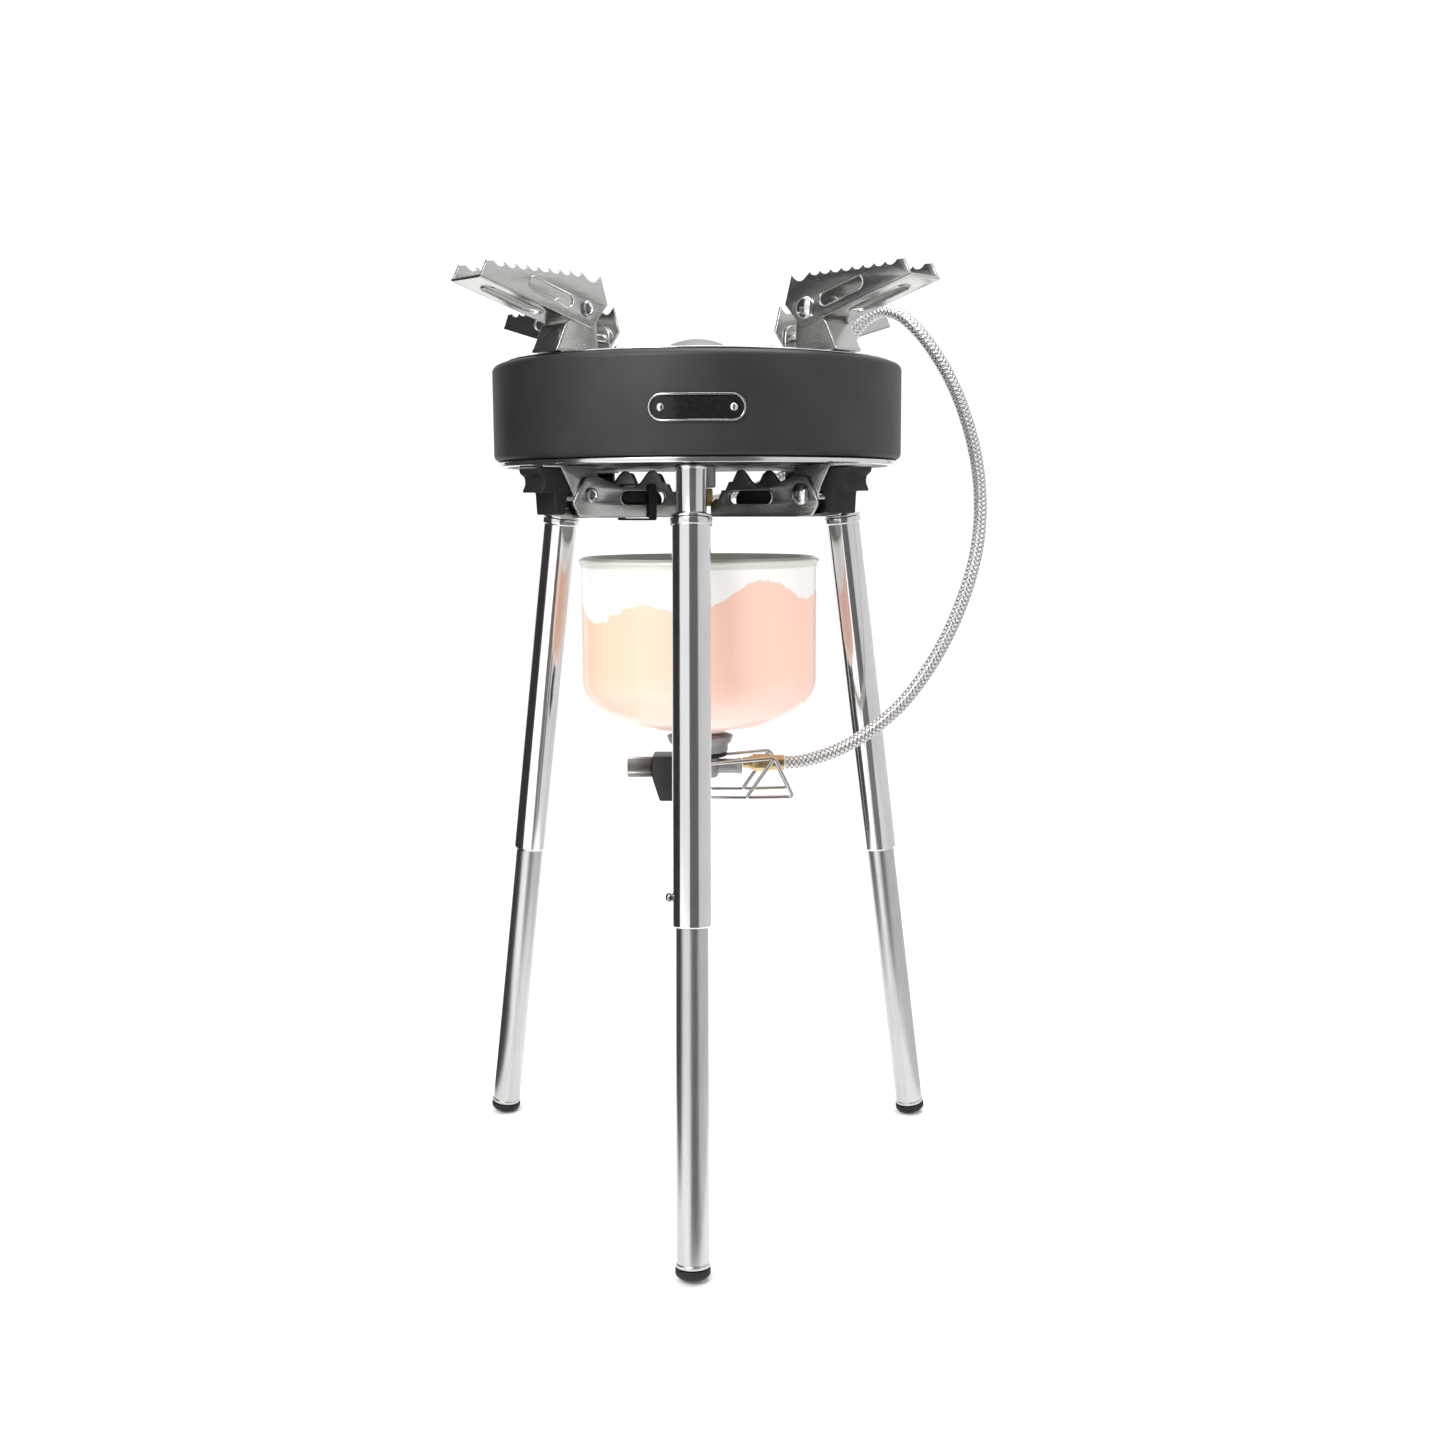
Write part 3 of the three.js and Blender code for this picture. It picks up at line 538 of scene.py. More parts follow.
def base_steel():
    """The base plate: bright at its rolled rim, with painted shade darkening the rest."""
    material, nodes, links, shader = new_material("base_steel", grey(0.5), 0.3, 1)
    x, y, _ = object_axes(nodes, links)
    flat = nodes.new("ShaderNodeCombineXYZ")
    links.new(x, flat.inputs["X"])
    links.new(y, flat.inputs["Y"])
    length = nodes.new("ShaderNodeVectorMath")
    length.operation = "LENGTH"
    links.new(flat.outputs[0], length.inputs[0])
    blotch = grained(nodes, links, (0.06, 0.06, 0.06))
    uneven = math_node(nodes, links, "MULTIPLY", blotch, 3 * MM)
    far = math_node(nodes, links, "ADD", length.outputs["Value"], uneven)
    rim = spread(nodes, links, far, 0, 1, 86 * MM, 89 * MM)
    # painted shade: the colour drops to near black inside the rolled rim, standing in for the shade under the
    # stove
    links.new(ramp(nodes, links, rim, (0.1, grey(0.05)), (0.8, grey(0.72))), shader.inputs["Base Color"])
    links.new(spread(nodes, links, rim, 0.45, 0.16), shader.inputs["Roughness"])
    return material


BLACK_COAT = coated_black()
STAMPED = brushed("stamped_steel", (0.25, 2.5, 2.5), 0.56, (0.16, 0.34), waves=2.5)
BASE_STEEL = base_steel()
POLISHED = polished(value=0.72)
SATIN = brushed("satin_tube", (2.5, 2.5, 0.05), 0.55, (0.22, 0.38), (1, 0.99, 0.975))
WIRE = polished("wire_steel", 0.6)
BUTTON_STEEL = polished("button_steel", 0.3)
ENAMEL = soft_black("badge_enamel", 0.008, 0.16, 0.5, 0.02)
SEAL = soft_black("seal_orange", 0.3, 0.5, 1.0, 0.05)
CAST = cast()
BURNER_CAST = cast("burner_alloy", 0.26)
BRASS = yellow_metal("brass", (0.68, 0.5, 0.24), (0.2, 0.4))
RUBBER = soft_black("rubber", 0.009, 0.62, 1.2, 0.3)
PLASTIC = soft_black("black_plastic", 0.016, 0.42, 3.0, 0.12)
GUNMETAL = yellow_metal("gunmetal", (0.3, 0.285, 0.275), (0.28, 0.42))
BRAID = braided()
PRINT = printed_canister()


# -------------------------------- pieces
def add_piece(name, shape, material, body, replaced, place):
    """Links a bmesh in mm, or a mesh made by an earlier call, as a piece that rides on a body."""
    mesh = shape
    if not isinstance(shape, bpy.types.Mesh):
        moved(shape, Matrix.Scale(MM, 4))
        mesh = bpy.data.meshes.new(name)
        bmesh.ops.remove_doubles(shape, verts=shape.verts, dist=1e-6)
        bmesh.ops.recalc_face_normals(shape, faces=shape.faces)
        shape.to_mesh(mesh)
        shape.free()
        mesh.shade_smooth()
        mesh.set_sharp_from_angle(angle=SHARP_ANGLE)
        mesh.materials.append(material)
    piece = bpy.data.objects.new(name, mesh)
    bpy.context.scene.collection.objects.link(piece)
    where = place.copy()
    where.translation = where.translation * MM
    piece.matrix_world = where
    bpy.context.view_layer.update()
    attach(piece, body)
    if replaced:
        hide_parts(replaced)
    return piece


def add_copies(name, shape, material, body, replaced, places):
    """The same shape at each numbered place; {} in a name stands for the number."""
    for index, place in places.items():
        node = replaced.format(index) if replaced else None
        piece = add_piece(f"{name}_{index}", shape, material, body.format(index), node, place)
        shape = piece.data


# -------------------------------- camera first, then the hose
def photo_camera():
    from_axis_x, from_axis_y, height = 27.2, -724.1, 309.9
    data = bpy.data.cameras.new("photo_camera")
    data.sensor_width = 36
    data.lens = 39.25
    camera = bpy.data.objects.new("photo_camera", data)
    bpy.context.scene.collection.objects.link(camera)
    pitch, yaw, roll = radians(7.756), radians(-1.324), radians(-0.331)
    forward = Vector((sin(yaw) * cos(pitch), cos(yaw) * cos(pitch), -sin(pitch)))
    level = Vector((cos(yaw), -sin(yaw), 0))
    upward = level.cross(forward)
    right = level * cos(roll) + upward * sin(roll)
    up = upward * cos(roll) - level * sin(roll)
    camera.matrix_world = Matrix((
        (right.x, up.x, -forward.x, (AXIS.x + from_axis_x) * MM),
        (right.y, up.y, -forward.y, (AXIS.y + from_axis_y) * MM),
        (right.z, up.z, -forward.z, height * MM),
        (0, 0, 0, 1),
    ))
    bpy.context.scene.camera = camera


HOSE_DIAMETER = 6.2
HOSE_ROUTE = [
    (0, 96.1, 315), (0.6, 104, 315), (4, 113, 315.4), (12, 121, 317), (24, 124.6, 320), (37, 122.6, 325),
    (50, 115.6, 331.4), (60, 104, 338.6), (66.5, 91.4, 347), (69.5, 80.4, 356.4), (69.8, 71.6, 366.4),
    (69.6, 64, 376.2), (70.4, 57.4, 385.2), (73.6, 52, 393), (79.4, 47, 399), (86.6, 41.4, 401.8),
    (94.4, 35.4, 398.8), (102.4, 31.4, 391), (110.9, 30, 379.6), (118.8, 29.4, 365.6),
    (124.9, 28.6, 350), (129.2, 27.4, 333.6), (131.2, 25.6, 317.6),
    (131, 22.8, 300.8), (128.4, 19.4, 284.8), (123, 16, 267.4), (115.6, 13, 250.4), (106, 10.4, 234),
    (94, 8, 218.6), (80, 5.6, 206.8), (65.6, 3, 198.6), (53, 1, 194.2), (45, 0.2, 192.7), (39.5, 0, 192.5),
]


def smooth_route(points, per_span=10):
    """A centripetal Catmull-Rom curve through the points."""
    points = [Vector(p) for p in points]
    padded = [points[0] * 2 - points[1], *points, points[-1] * 2 - points[-2]]
    out = []
    for p0, p1, p2, p3 in zip(padded, padded[1:], padded[2:], padded[3:]):
        t0 = 0.0
        t1 = t0 + sqrt((p1 - p0).length)
        t2 = t1 + sqrt((p2 - p1).length)
        t3 = t2 + sqrt((p3 - p2).length)
        for step in range(per_span):
            t = t1 + (t2 - t1) * step / per_span
            a1 = p0 * ((t1 - t) / (t1 - t0)) + p1 * ((t - t0) / (t1 - t0))
            a2 = p1 * ((t2 - t) / (t2 - t1)) + p2 * ((t - t1) / (t2 - t1))
            a3 = p2 * ((t3 - t) / (t3 - t2)) + p3 * ((t - t2) / (t3 - t2))
            b1 = a1 * ((t2 - t) / (t2 - t0)) + a2 * ((t - t0) / (t2 - t0))
            b2 = a2 * ((t3 - t) / (t3 - t1)) + a3 * ((t - t1) / (t3 - t1))
            out.append(b1 * ((t2 - t) / (t2 - t1)) + b2 * ((t - t1) / (t2 - t1)))
    out.append(points[-1])
    return out


def hose():
    route = smooth_route(HOSE_ROUTE)
    tube = sweep(route, HOSE_DIAMETER / 2, 24)
    piece = add_piece("hose_braid", tube, BRAID, "stove", "hose", STOVE)


# -------------------------------- ring, plates, burner
def ring_shell():
    corner, wall, lip = 3, 1.2, 9
    outer = [(RING_RADIUS - lip, RING_BOTTOM)]
    for z, start in ((RING_BOTTOM + corner, -pi / 2), (RING_TOP - corner, 0)):
        for i in range(9):
            angle = start + pi / 2 * i / 8
            outer.append((RING_RADIUS - corner + corner * cos(angle), z + corner * sin(angle)))
    inner = [
        (RING_RADIUS - 2 * lip, RING_TOP), (RING_RADIUS - 2 * lip, RING_TOP - wall),
        (RING_RADIUS - corner, RING_TOP - wall), (RING_RADIUS - wall, RING_TOP - corner),
        (RING_RADIUS - wall, RING_BOTTOM + corner), (RING_RADIUS - corner, RING_BOTTOM + wall),
        (RING_RADIUS - lip, RING_BOTTOM + wall),
    ]
    shell = lathe(outer + inner, 192, ring=True)
    add_piece("ring_coated", shell, BLACK_COAT, "stove", "ring_shell", STOVE)


def base_plate():
    vent_ring, boss, boss_bore, boss_height = 47, 8, 4.4, 6
    top = RING_BOTTOM - GAP
    vents = []
    for i in range(8):
        angle = 2 * pi * (i + 0.5) / 8
        vents.append(circle(vent_ring * cos(angle), vent_ring * sin(angle), 5.5, 28))
    disc = plate(circle(0, 0, 90, 160), [circle(0, 0, 10, 40), *vents], BASE_THICKNESS, 0.5)
    moved(disc, Matrix.Translation((0, 0, top - BASE_THICKNESS / 2)) @ LAID_FLAT)
    seats = []
    for index in LEG_AZIMUTHS:
        start = along_leg(top)
        low, high = start - 0.4, start + boss_height
        profile = fillet([(boss_bore, low), (boss, low), (boss, high), (boss_bore, high)], 0.5, closed=True)
        seats.append(moved(lathe(profile, 32, ring=True), STOVE.inverted() @ leg_place(index)))
    add_piece("base_disc", merged(disc, *seats), BASE_STEEL, "stove", "base_plate", STOVE)


def top_plate():
    high = RING_TOP + GAP
    low = high - 9
    under = [(87, high), (62, high), (54, low), (19.5, low)]
    over = [(radius, z + TOP_THICKNESS) for radius, z in reversed(under)]
    pan = lathe(fillet(under + over, 2.0, 4, closed=True), 160, ring=True)
    add_piece("dished_pan", pan, POLISHED, "stove", "top_plate", STOVE)


def burner():
    radius, dome_top, curve, seat, slots = 19, 385, 30, 377, 16
    rise = [(radius - 1) * i / 10 for i in range(11)]
    dome = [(r, dome_top - curve + sqrt(curve**2 - r**2)) for r in rise]
    skirt = [(radius - 0.2, 379.4), (radius, 378.8), (radius, 378.6), (0, 378.6)]
    teeth = []
    for i in range(slots):
        wide = [radians(-8 + 16 * s / 4) for s in range(5)]
        outline = [(radius * cos(a), radius * sin(a)) for a in wide]
        outline += [((radius - 3) * cos(a), (radius - 3) * sin(a)) for a in reversed(wide)]
        block = prism(outline, seat, 378.7, 0.15)
        teeth.append(moved(block, Matrix.Rotation(2 * pi * (i + 0.5) / slots, 4, "Z")))
    cap = merged(lathe(dome + skirt, 96), *teeth)
    add_piece("burner_crown", cap, BURNER_CAST, "stove", "burner_cap", STOVE)
    neck = 8
    cup = [
        (neck - 2, 319), (neck, 319), (neck, 350), (radius - 1, 362), (radius, 364), (radius, seat - GAP),
        (radius - 2.2, seat - GAP), (radius - 2.2, 365), (neck - 2, 352),
    ]
    bowl = lathe(fillet(cup, 1, 3, closed=True), 72, ring=True)
    add_piece("burner_bowl", bowl, CAST, "stove", "burner_cup", STOVE)


def gas_feed():
    inlet, z = 82, 315
    block = prism(polygon(7.5, 6, 30), 310.7, 318.7, 0.6)
    jet = lathe([(0, 317.7), (3, 317.7), (3, 321.6), (1.2, 323.6), (0, 323.6)], 24)
    pipe = rod((0, 4, z), (0, inlet, z), 2.5, 24)
    add_piece("jet_and_pipe", merged(block, jet, pipe), BRASS, "stove", "gas_pipe", STOVE)
    start = inlet + GAP
    nut = moved(prism(polygon(5, 6), 0, 9, 0.5), Matrix.Translation((0, start, z)) @ LAID_FLAT)
    tail = turned_between((0, start + 8, z), (0, 1, 0), [(0, 0), (3.7, 0), (3.7, 4.6), (3.2, 5.4), (0, 5.4)])
    add_piece("inlet_union", merged(nut, tail), BRASS, "stove", "inlet_nut", STOVE)


def badge():
    length, height, z = 39, 11, 349.5
    half = length / 2 - height / 2
    face = RING_RADIUS + GAP

    def wrapped(outline, holes, inner, outer, bevel):
        """A flat badge piece bent round the ring."""
        bm = plate(outline, holes, outer - inner, bevel)
        long_edges = [edge for edge in bm.edges if edge.calc_length() > 2]
        bmesh.ops.subdivide_edges(bm, edges=long_edges, cuts=6, use_grid_fill=True)
        for vert in bm.verts:
            x, depth, up = vert.co
            out = (inner + outer) / 2 - depth
            vert.co = (out * sin(x / face), -out * cos(x / face), up + z)
        return bm

    def pill(width):
        return stadium((-half, 0), (half, 0), width)

    rim = wrapped(pill(height), [pill(height - 1.5)], face, face + 1, 0.25)
    add_piece("badge_rim", rim, POLISHED, "stove", "badge_frame", RING_PLACE)
    panel = wrapped(pill(height - 2.1), [], face, face + 0.6, 0.1)
    add_piece("badge_panel", panel, ENAMEL, "stove", "badge_plate", RING_PLACE)
    dome, rivet_x = [(0, 0), (1.5, 0), (1.5, 0.7), (1.1, 1.05), (0, 1.2)], 14.6
    for side, name in ((-1, "badge_rivet_left"), (1, "badge_rivet_right")):
        angle = asin(side * rivet_x / face)
        out = Vector((sin(angle), -cos(angle), 0))
        head = turned_between(out * face + Vector((0, 0, z)), out, dome, 24)
        add_piece(name, head, POLISHED, "stove", None, RING_PLACE)


# -------------------------------- folding supports
def support_outline():
    """[along, up] from the pivot, arm pointing outwards."""
    heel = [(-2.3, -7.6), (-11.4, 2.3), (-7.7, 14.1)]
    dip = [(-6.6, 13.1), (-5.4, 12.0), (-4.2, 11.3), (-2.8, 11.0), (-1.2, 11.5), (0.6, 12.9)]
    first, pitch, teeth, top, depth = 2.5, 5.6, 8, 14.3, 1.7
    edge = []
    for i in range(teeth):
        for step in range(8):
            part = step / 8
            edge.append((first + pitch * (i + part), top - depth * sin(pi * part) ** 0.8))
    return heel + dip + edge + [(47.3, 14.3), (50.8, 14.3), (54.4, 7.6)]


def lip(start, end, width, place, radius=0.45):
    """The rolled edge round a slot."""
    loop = [(x, 0, z) for x, z in stadium(start, end, width + 0.7)]
    return moved(sweep(loop, radius, 8, closed=True), place)


def pot_support_mesh():
    outline = support_outline()
    slot = ((10, 2.6), (27.5, 7.4))
    holes = [circle(0, 0, PIN_RADIUS + GAP, 32), stadium(*slot, 5)]
    low, high = (-2.3, -7.6), (54.4, 7.6)
    slope = atan2(high[1] - low[1], high[0] - low[0])
    length = sqrt((high[0] - low[0]) ** 2 + (high[1] - low[1]) ** 2)
    half = ARM_WIDTH / 2
    web_start, web_slot = 10.5, ((24, 0), (46, 0), 7)
    corners = [(web_start, -half), (length, -half), (length, half), (web_start, half)]
    web = plate(corners, [stadium(*web_slot)], SHEET, 0.45)
    tilt = Matrix.Translation((low[0], 0, low[1])) @ Matrix.Rotation(-slope, 4, "Y")
    moved(web, tilt @ Matrix.Translation((0, 0, SHEET / 2)) @ LAID_FLAT)
    web_lip = lip(*web_slot, tilt @ Matrix.Translation((0, 0, 0.1)) @ LAID_FLAT, 0.5)
    parts = [web, web_lip]
    for side in (-1, 1):
        parts.append(plate(outline, holes, SHEET, 0.3, side * (ARM_WIDTH - SHEET) / 2))
        parts.append(lip(*slot, 5, Matrix.Translation((0, side * (half - 0.1), 0)), 0.35))
    return merged(*parts)


def strip(left, right, low, high, bevel, width=BRACKET_WIDTH):
    """A flat strip across a bracket or arm, seen from the side as a thin box."""
    return plate([(left, low), (right, low), (right, high), (left, high)], [], width, bevel)


def bracket_mesh(cheek, thickness, extras):
    parts = list(extras)
    for side in (-1, 1):
        parts.append(plate(cheek, [], thickness, 0.25, side * (BRACKET_WIDTH - thickness) / 2))
    return merged(*parts)


def arc(x, z, radius, start, end, steps=10):
    out = []
    for i in range(steps + 1):
        angle = radians(start + (end - start) * i / steps)
        out.append((x + radius * cos(angle), z + radius * sin(angle)))
    return out


def support_bracket():
    r, z = SUPPORT_PIVOT
    base = RING_TOP + GAP + TOP_THICKNESS + GAP
    cheek = [(r - 7, base), (r + 15.4, base), (r + 9.9, z - 6.3), *arc(r, z, 6, -25, 165)]
    slant = [(r + 14.2, base), (r + 15.6, base), (r + 10, z - 6.2), (r + 8.6, z - 6.2)]
    wall = plate(slant, [], BRACKET_WIDTH, 0.4)
    floor = strip(r - 15, r + 15.5, base, base + SHEET, 0.4)
    dome = [(0, 2.4), (1.4, 2.2), (2.3, 1.5), (2.5, 1.1), (0, 1.0)]
    rivet = moved(lathe(dome, 24), Matrix.Translation((r - 11.5, 0, base)))
    return bracket_mesh(cheek, SHEET, [wall, floor, rivet])


def pin_mesh():
    half = ARM_WIDTH / 2 + GAP
    head = [(0, 2.1), (1.7, 2.0), (3.1, 1.6), (4.1, 0.95), (4.6, 0.3), (4.6, 0)]
    tail = [(3.1, 0), (3.1, 0.5), (2.7, 0.8), (2.1, 0.8), (1.7, 0.3), (1.5, -2.5), (0, -2.6)]
    profile = [(radius, -half - out) for radius, out in head]
    profile += [(PIN_RADIUS, -half), (PIN_RADIUS, half)]
    profile += [(radius, half + out) for radius, out in tail]
    return moved(lathe(profile, 40), LAID_FLAT)


def short_leg_bracket():
    r, z = SHORT_LEG_PIVOT
    top, thickness = BASE_BOTTOM - GAP, HANGER_SHEET
    cheek = [(r - 5, top), (r + 15.4, top), (r + 13.5, top - 3), (r + 7, z - 1.8), *arc(r, z, 5.6, -30, -190)]
    return bracket_mesh(cheek, thickness, [strip(r - 8, r + 24, top - thickness, top, 0.35)])


def short_leg_mesh():
    points = [
        (-10, -3.3), (-6.3, -8.8), (2, -9.5), (54, -9.5), (54, -4), (51, -1.4), (49.4, -2.2), (46.8, 2.4),
        (45, 1.6), (42.4, 6), (40.6, 5.4), (37.5, 10.4), (35, 11), (32.4, 9.6), (29, 5.8), (24.5, 3.2),
        (18, 3.4), (9, 6.2), (3, 8.2), (-3, 7.4),
    ]
    outline = fillet([(-inwards, up) for inwards, up in points], 1.2, 3, closed=True)
    slot = ((-39.5, -1), (-19.5, -1))
    holes = [circle(0, 0, PIN_RADIUS + GAP, 32), stadium(*slot, 5.6)]
    parts = [strip(-54, -4.5, -9.5, -9.5 + SHEET, 0.45, ARM_WIDTH)]
    for side in (-1, 1):
        parts.append(plate(outline, holes, SHEET, 0.3, side * (ARM_WIDTH - SHEET) / 2))
        parts.append(lip(*slot, 5.6, Matrix.Translation((0, side * (ARM_WIDTH / 2 - 0.1), 0)), 0.35))
    return merged(*parts)


def cleat_mesh():
    top = BASE_BOTTOM - GAP - HANGER_SHEET - GAP
    outline = [
        (78.5, top), (97, top), (96.6, top - 2.2), (94.2, top - 3.8), (93.8, top - 6.4), (95.6, top - 10),
        (88.6, top - 10), (88, 307.4), (83.4, 307.4), (82.4, 313.5), (81.2, 316.6), (78.5, 318.4),
    ]
    return plate(fillet(outline, 0.8, 3, closed=True), [], BRACKET_WIDTH - 2 * HANGER_SHEET - 2 * GAP, 0.7)


def at_pivot(shape, pivot):
    return moved(shape, Matrix.Translation((pivot[0], 0, pivot[1])))


def arms():
    upper = {index: arm_place(index, RING_TURN) for index in ARM_AZIMUTHS}
    lower = {index: arm_place(index, SHORT_LEGS_TURN) for index in ARM_AZIMUTHS}
    support = at_pivot(pot_support_mesh(), SUPPORT_PIVOT)
    support_pin = at_pivot(pin_mesh(), SUPPORT_PIVOT)
    table_leg = at_pivot(short_leg_mesh(), SHORT_LEG_PIVOT)
    leg_pin = at_pivot(pin_mesh(), SHORT_LEG_PIVOT)
    stand, hanger, cleat = support_bracket(), short_leg_bracket(), cleat_mesh()
    for name, shape, material, body, node, slot, places in (
        ("support_channel", support, STAMPED, "pot_support_{}", "pot_support_{}", "brushed_steel", upper),
        ("support_stand", stand, STAMPED, "stove", "support_bracket_{}", "brushed_steel", upper),
        ("support_rivet", support_pin, POLISHED, "stove", "support_pin_{}", "polished_steel", upper),
        ("leg_hanger", hanger, STAMPED, "stove", "leg_bracket_{}", "brushed_steel", lower),
        ("table_leg", table_leg, STAMPED, "short_leg_{}", "short_leg_{}", "brushed_steel", lower),
        ("table_leg_rivet", leg_pin, POLISHED, "stove", "short_leg_pin_{}", "polished_steel", lower),
        ("rubber_cleat", cleat, RUBBER, "stove", "hose_cleat_{}", "rubber", lower),
    ):
        add_copies(name, shape, material, body, node, places)
    strap()
    # A dark rubber sheet in the middle of each short leg's channel, seen through the slots: painted shade
    # standing in for the shade inside the channel.
    shade_sheet = plate(stadium((30, SLOT_Z - 1), (54, SLOT_Z - 1), 8.6), [], 3, 0.4)
    add_copies("slot_shade_sheet", shade_sheet, RUBBER, "short_leg_{}", None, lower)
    rim_rivets()


def strap():
    """A rubber keeper: a tongue lying in one short leg's slot, and a loop round the leg."""
    z, side, room = SLOT_Z, ARM_WIDTH / 2, 0.35
    tongue = plate(stadium((34, z), (50, z), 5), [], 0.7, 0.25, side - SHEET - 0.5)
    across, low, high = side + room, z - 8.9, z + 5.4
    inner = [(-across, low), (across, low), (across, high), (-across, high)]
    outer = [(y * 1.09, z + (up - z) * 1.1) for y, up in inner]
    loop = plate(fillet(outer, 1, closed=True), [fillet(inner, 0.6, closed=True)], 4.2, 0.3)
    moved(loop, Matrix.Translation((37.5, 0, 0)) @ Matrix.Rotation(pi / 2, 4, "Z"))
    place = arm_place(1, SHORT_LEGS_TURN)
    add_piece("fold_strap", merged(tongue, loop), RUBBER, "short_leg_1", None, place)


def rim_rivets():
    """Small domes that hold the top plate down, between the supports."""
    top, from_axis = RING_TOP + GAP + TOP_THICKNESS, 82
    dome = lathe([(0, top + 1.5), (1.1, top + 1.35), (1.9, top + 0.8), (2.2, top + 0.05), (0, top)], 24)
    places = {}
    for i in range(8):
        angle = radians(RING_TURN + 22.5 + 45 * i)
        places[i + 1] = STOVE @ Matrix.Translation((from_axis * cos(angle), from_axis * sin(angle), 0))
    add_copies("rim_rivet", dome, POLISHED, "stove", None, places)


# -------------------------------- tripod legs
def tripod():
    top = LEG_LENGTH
    open_end = top - UPPER_TUBE_LENGTH
    bore = TUBE - TUBE_WALL
    plate_z = along_leg(BASE_BOTTOM)
    button = open_end + BUTTON_FROM_END
    flange, neck, nut, stud, hole_radius = 8.7, 6.3, 7, 4, 2.3
    post = [
        (0, top - 7), (bore - GAP, top - 7), (bore - GAP, top + GAP), (flange, top + GAP),
        (flange, top + 1.4), (neck, top + 2), (neck, plate_z - 3), (nut, plate_z - 2.6),
        (nut, plate_z - 1.2), (stud, plate_z - 1), (stud, plate_z + 8), (0, plate_z + 8),
    ]
    upper = [
        (TUBE - 0.5, open_end), (TUBE, open_end + 0.7), (TUBE, top - 3), (TUBE + 0.7, top - 2.6),
        (TUBE + 0.7, top), (bore, top), (bore, open_end),
    ]
    low = CAP_HEIGHT + GAP
    lower_top = open_end + TUBE_OVERLAP
    wall = INNER_TUBE - TUBE_WALL
    bead = INNER_TUBE + 0.3
    lower = [
        (INNER_TUBE, low), (bead, low + 0.4), (bead, low + 1.4), (INNER_TUBE, low + 1.9),
        (INNER_TUBE, lower_top), (wall, lower_top), (wall, low),
    ]
    cap = [
        (0, 0), (SOLE_RADIUS, 0), (CAP_RADIUS, 1.4), (CAP_RADIUS, CAP_HEIGHT), (wall - GAP, CAP_HEIGHT),
        (wall - GAP, CAP_HEIGHT + 7), (0, CAP_HEIGHT + 7),
    ]
    places = {index: leg_place(index) for index in LEG_AZIMUTHS}
    stud_shape, cap_shape = lathe(fillet(post, 0.4), 64), lathe(fillet(cap, 0.5), 64)
    add_copies("leg_stud", stud_shape, POLISHED, "leg_{}", "leg_post_{}", places)
    add_copies("leg_cap", cap_shape, RUBBER, "lower_leg_{}", "foot_cap_{}", places)

    dome = [(0, 0), (1.5, 0), (1.5, 1.5), (1.9, 1.9), (1.95, 2.5), (1.6, 3.3), (0.9, 3.75), (0, 3.85)]
    drill = [(0, 0), (hole_radius, 0), (hole_radius, 6), (0, 6)]

    def tube(profile, rounding, side, *holes):
        """A leg tube with the snap button's holes on one side."""
        drills = [turned_between((0, side * 4, height), (0, side, 0), drill, 32) for height in holes]
        return drilled(lathe(fillet(profile, rounding, closed=True), 96, ring=True), *drills)

    for index, side in BUTTON_SIDES.items():
        outer = tube(upper, 0.25, side, button, button + LEG_TRAVEL)
        inner = tube(lower, 0.2, side, button, button - LEG_TRAVEL)
        knob = turned_between((0, side * (INNER_TUBE + GAP), button), (0, side, 0), dome, 32)
        here = {index: places[index]}
        add_copies("leg_upper", outer, POLISHED, "leg_{}", "upper_tube_{}", here)
        add_copies("leg_lower", inner, SATIN, "lower_leg_{}", "lower_tube_{}", here)
        node = "snap_button_{}"
        add_copies("leg_button", knob, BUTTON_STEEL, node, node, here)


# -------------------------------- canister and valve
def canister():
    radius, rim, shoulder, neck = 55, 288.4, 232, 207.5
    dome = []
    for i in range(17):
        angle = radians(66 - 66 * i / 16)
        dome.append((17 + (radius - 18.2) * cos(angle), shoulder - (shoulder - neck - 2) * sin(angle)))
    profile = [
        (0, neck - 6), (5.4, neck - 6), (5.4, neck), (12, neck), (12.5, neck + 2.4), *dome,
        (radius - 1.2, rim - 5.2), *arc(radius - 1.1, rim - 2.2, 1.1, -70, 90, 8), (radius - 2.2, rim - 0.4),
        (radius - 3, rim - 4), (44, rim - 8.6), (36, rim - 10.5), (22, rim - 12.6), (0, rim - 13.5),
    ]
    add_piece("canister_can", lathe(profile, 128), PRINT, "canister", "canister", STOVE)


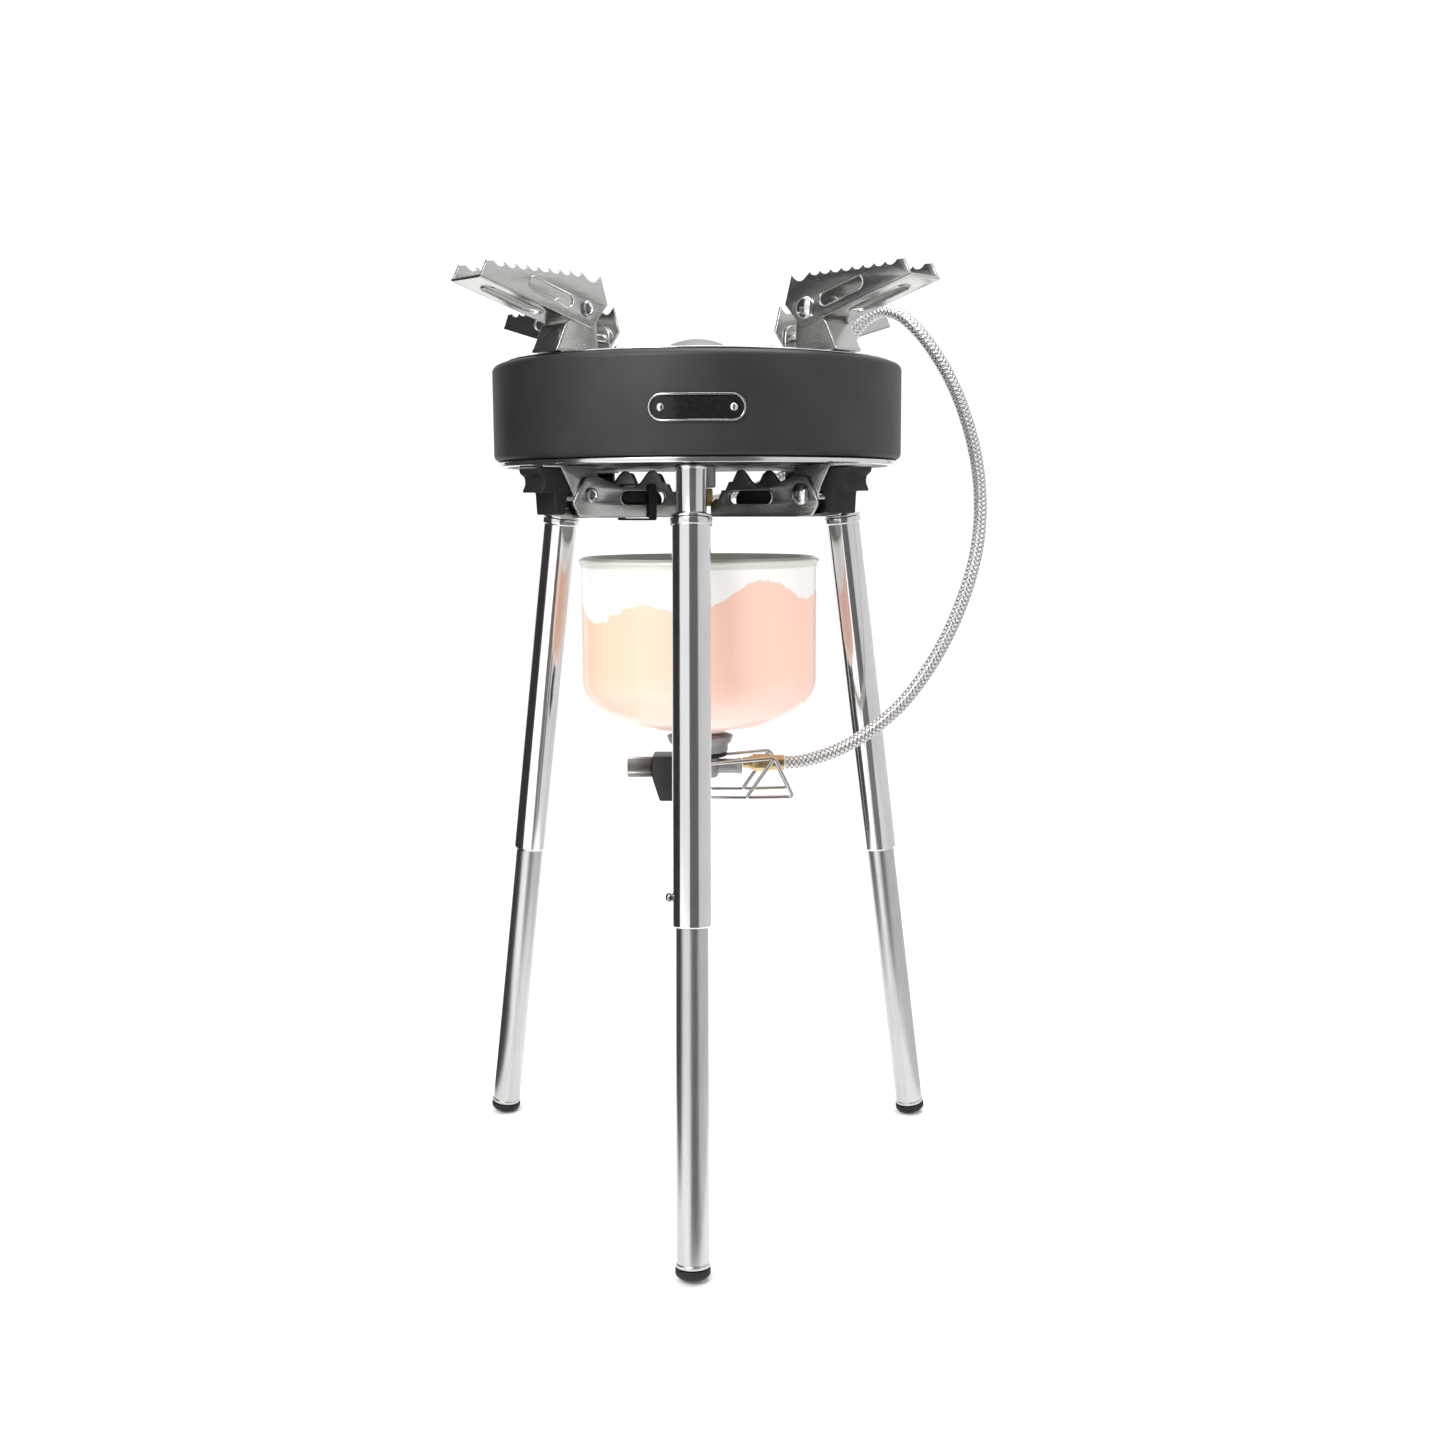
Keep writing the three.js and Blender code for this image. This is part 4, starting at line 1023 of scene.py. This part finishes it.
def valve():
    z = VALVE_Z
    collar = lathe(fillet([
        (6, SEAT_Z - 2), (12.8, SEAT_Z - 2), (13, SEAT_Z + 1.2), (14.4, SEAT_Z + 2.6), (15.4, SEAT_Z + 5.4),
        (14.4, SEAT_Z + 5.4), (13.2, SEAT_Z + 3.2), (6, SEAT_Z + 3.2),
    ], 0.3, closed=True), 96, ring=True)
    hub = lathe(fillet([(0, z - 6.5), (8, z - 6.5), (9, z - 4), (9, SEAT_Z - 1), (0, SEAT_Z - 1)], 0.4), 64)
    arm = rod((-10, 0, z - 1.6), (BODY_END_X, 0, z - 1.6), 3.4, 32)
    add_piece("valve_casting", merged(collar, hub, arm), CAST, "stove", "valve_body", STOVE)

    gasket = lathe(circle(11.5, SEAT_Z - 3.2, 1.1, 12), 64, ring=True)
    add_piece("valve_gasket", gasket, RUBBER, "stove", None, STOVE)
    disc = [(0, 0), (3.7, 0), (3.7, 1.6), (0, 1.6)]
    washer = turned_between((BODY_END_X - 2.2, 0, z - 1.6), (1, 0, 0), disc, 32)
    add_piece("valve_washer", washer, SEAL, "stove", None, STOVE)

    block_top, foot_z, inner_x, lug_half = z + 4, z - 16.8, -11, 13.6
    corners = [
        (BLOCK_X, block_top), (BLOCK_X, z - 6), (BLOCK_X + 3.4, foot_z),
        (inner_x, foot_z), (inner_x, block_top),
    ]
    block = plate(fillet(corners, 0.8, closed=True), [], 17, 0.7)
    lug_corners = [(-12, -lug_half), (-5.6, -lug_half), (-5.6, lug_half), (-12, lug_half)]
    lug = prism(fillet(lug_corners, 1.2, closed=True), z - 10.5, z - 7, 0.4)
    add_piece("valve_foot", merged(block, lug), PLASTIC, "stove", "valve_foot_block", STOVE)

    ribs, radius, rib_height, from_block = 40, 4.55, 0.22, 11.7
    wheel = []
    for i in range(ribs * 4):
        angle = 2 * pi * i / (ribs * 4)
        reach = radius + rib_height * cos(ribs * angle)
        wheel.append((reach * cos(angle), reach * sin(angle)))
    knob = prism(wheel, 0, from_block - GAP, 0.35)
    moved(knob, Matrix.Translation((BLOCK_X - from_block, 0, z - 2)) @ ONTO_X)
    add_piece("valve_wheel", knob, GUNMETAL, "valve_knob", "valve_knob", STOVE)

    start, ferrule_start = BODY_END_X + GAP, 12.5
    collar_profile = [(0, 0), (2.6, 0), (2.6, 3), (3.3, 3.2), (3.3, 4.6), (2.6, 4.8), (0, 5)]
    thin = turned_between((start, 0, z), (1, 0, 0), collar_profile)
    nut = moved(prism(polygon(4, 6), 4.5, 13, 0.45), Matrix.Translation((start, 0, z)) @ ONTO_X)
    length = NUT_END_X - start - ferrule_start
    tail = [(0, 0), (3.6, 0), (3.6, 6.2), (3.4, length), (0, length)]
    ferrule = turned_between((start + ferrule_start, 0, z), (1, 0, 0), tail)
    add_piece("valve_union", merged(thin, nut, ferrule), BRASS, "stove", "hose_nut", STOVE)


def wire_foot(name, node, side, reach):
    def place(x, z):
        return (x, side * (WIRE_HINGE[1] + (x - WIRE_HINGE[0]) * 0.02), z)

    low = (WIRE_HINGE[0], side * WIRE_HINGE[1], 178)
    high = (WIRE_HINGE[0], side * WIRE_HINGE[1], 192.6)
    top, outer, inner = place(reach - 8.5, 196.4), place(reach, 178.4), place(reach - 21.5, 178)
    centreline = fillet([inner, low, high, top, outer, inner, top], 2.2, 6)
    add_piece(name, sweep(centreline, 0.9, 16), WIRE, node, node, STOVE)


# -------------------------------- floor and light
def studio():
    bm = bmesh.new()
    bmesh.ops.create_grid(bm, x_segments=1, y_segments=1, size=6)
    mesh = bpy.data.meshes.new("studio_floor")
    bm.to_mesh(mesh)
    bm.free()
    floor = bpy.data.objects.new("studio_floor", mesh)
    floor.location.z = -0.0005
    bpy.context.scene.collection.objects.link(floor)
    mesh.materials.append(new_material("studio_floor", grey(0.93), 0.7)[0])

    world = bpy.data.worlds.new("studio")
    bpy.context.scene.world = world
    world.use_nodes = True
    world.node_tree.nodes["Background"].inputs["Color"].default_value = (1, 1, 1, 1)
    world.node_tree.nodes["Background"].inputs["Strength"].default_value = 1.12
    bpy.context.scene.view_settings.view_transform = "Standard"

    # Dark and grey cards round the stove, seen only in its reflections; angles run rightwards from the front.
    near, reach, high, steps = 0.17, 0.55, 1.1, 16
    for name, start, end, shade in (
        ("left_card", -134, -62, 0.02),
        ("front_card", -9, 36, 0.10),
        ("right_card", 36, 140, 0.5),
    ):
        card_bm = bmesh.new()
        rows = []
        for i in range(steps + 1):
            angle = radians(start + (end - start) * i / steps)
            spots = ((near, 0), (reach, 0), (reach, high))
            rows.append([card_bm.verts.new((r * sin(angle), -r * cos(angle), z)) for r, z in spots])
        for left, right in zip(rows, rows[1:]):
            for k in (0, 1):
                card_bm.faces.new((left[k], right[k], right[k + 1], left[k + 1]))
        card_mesh = bpy.data.meshes.new(name)
        card_bm.to_mesh(card_mesh)
        card_bm.free()
        card_mesh.materials.append(new_material(name, grey(shade), 1.0)[0])
        card = bpy.data.objects.new(name, card_mesh)
        bpy.context.scene.collection.objects.link(card)
        card.visible_camera = card.visible_diffuse = card.visible_shadow = False

    target = Vector((0, 0, 0.25))
    for name, where, size, power in (
        ("key", (-0.5, -1.0, 1.1), 0.5, 12),
        ("top", (0.2, 0.1, 1.5), 0.8, 10),
    ):
        data = bpy.data.lights.new(name, "AREA")
        data.energy = power
        data.size = size
        lamp = bpy.data.objects.new(name, data)
        bpy.context.scene.collection.objects.link(lamp)
        lamp.location = where
        lamp.rotation_euler = (target - Vector(where)).to_track_quat("-Z", "Y").to_euler()


photo_camera()
hose()
ring_shell()
base_plate()
top_plate()
burner()
gas_feed()
badge()
arms()
tripod()
canister()
valve()
wire_foot("wire_foot_front", "wire_foot_near", -1, 43)
wire_foot("wire_foot_back", "wire_foot_far", 1, 41)
studio()
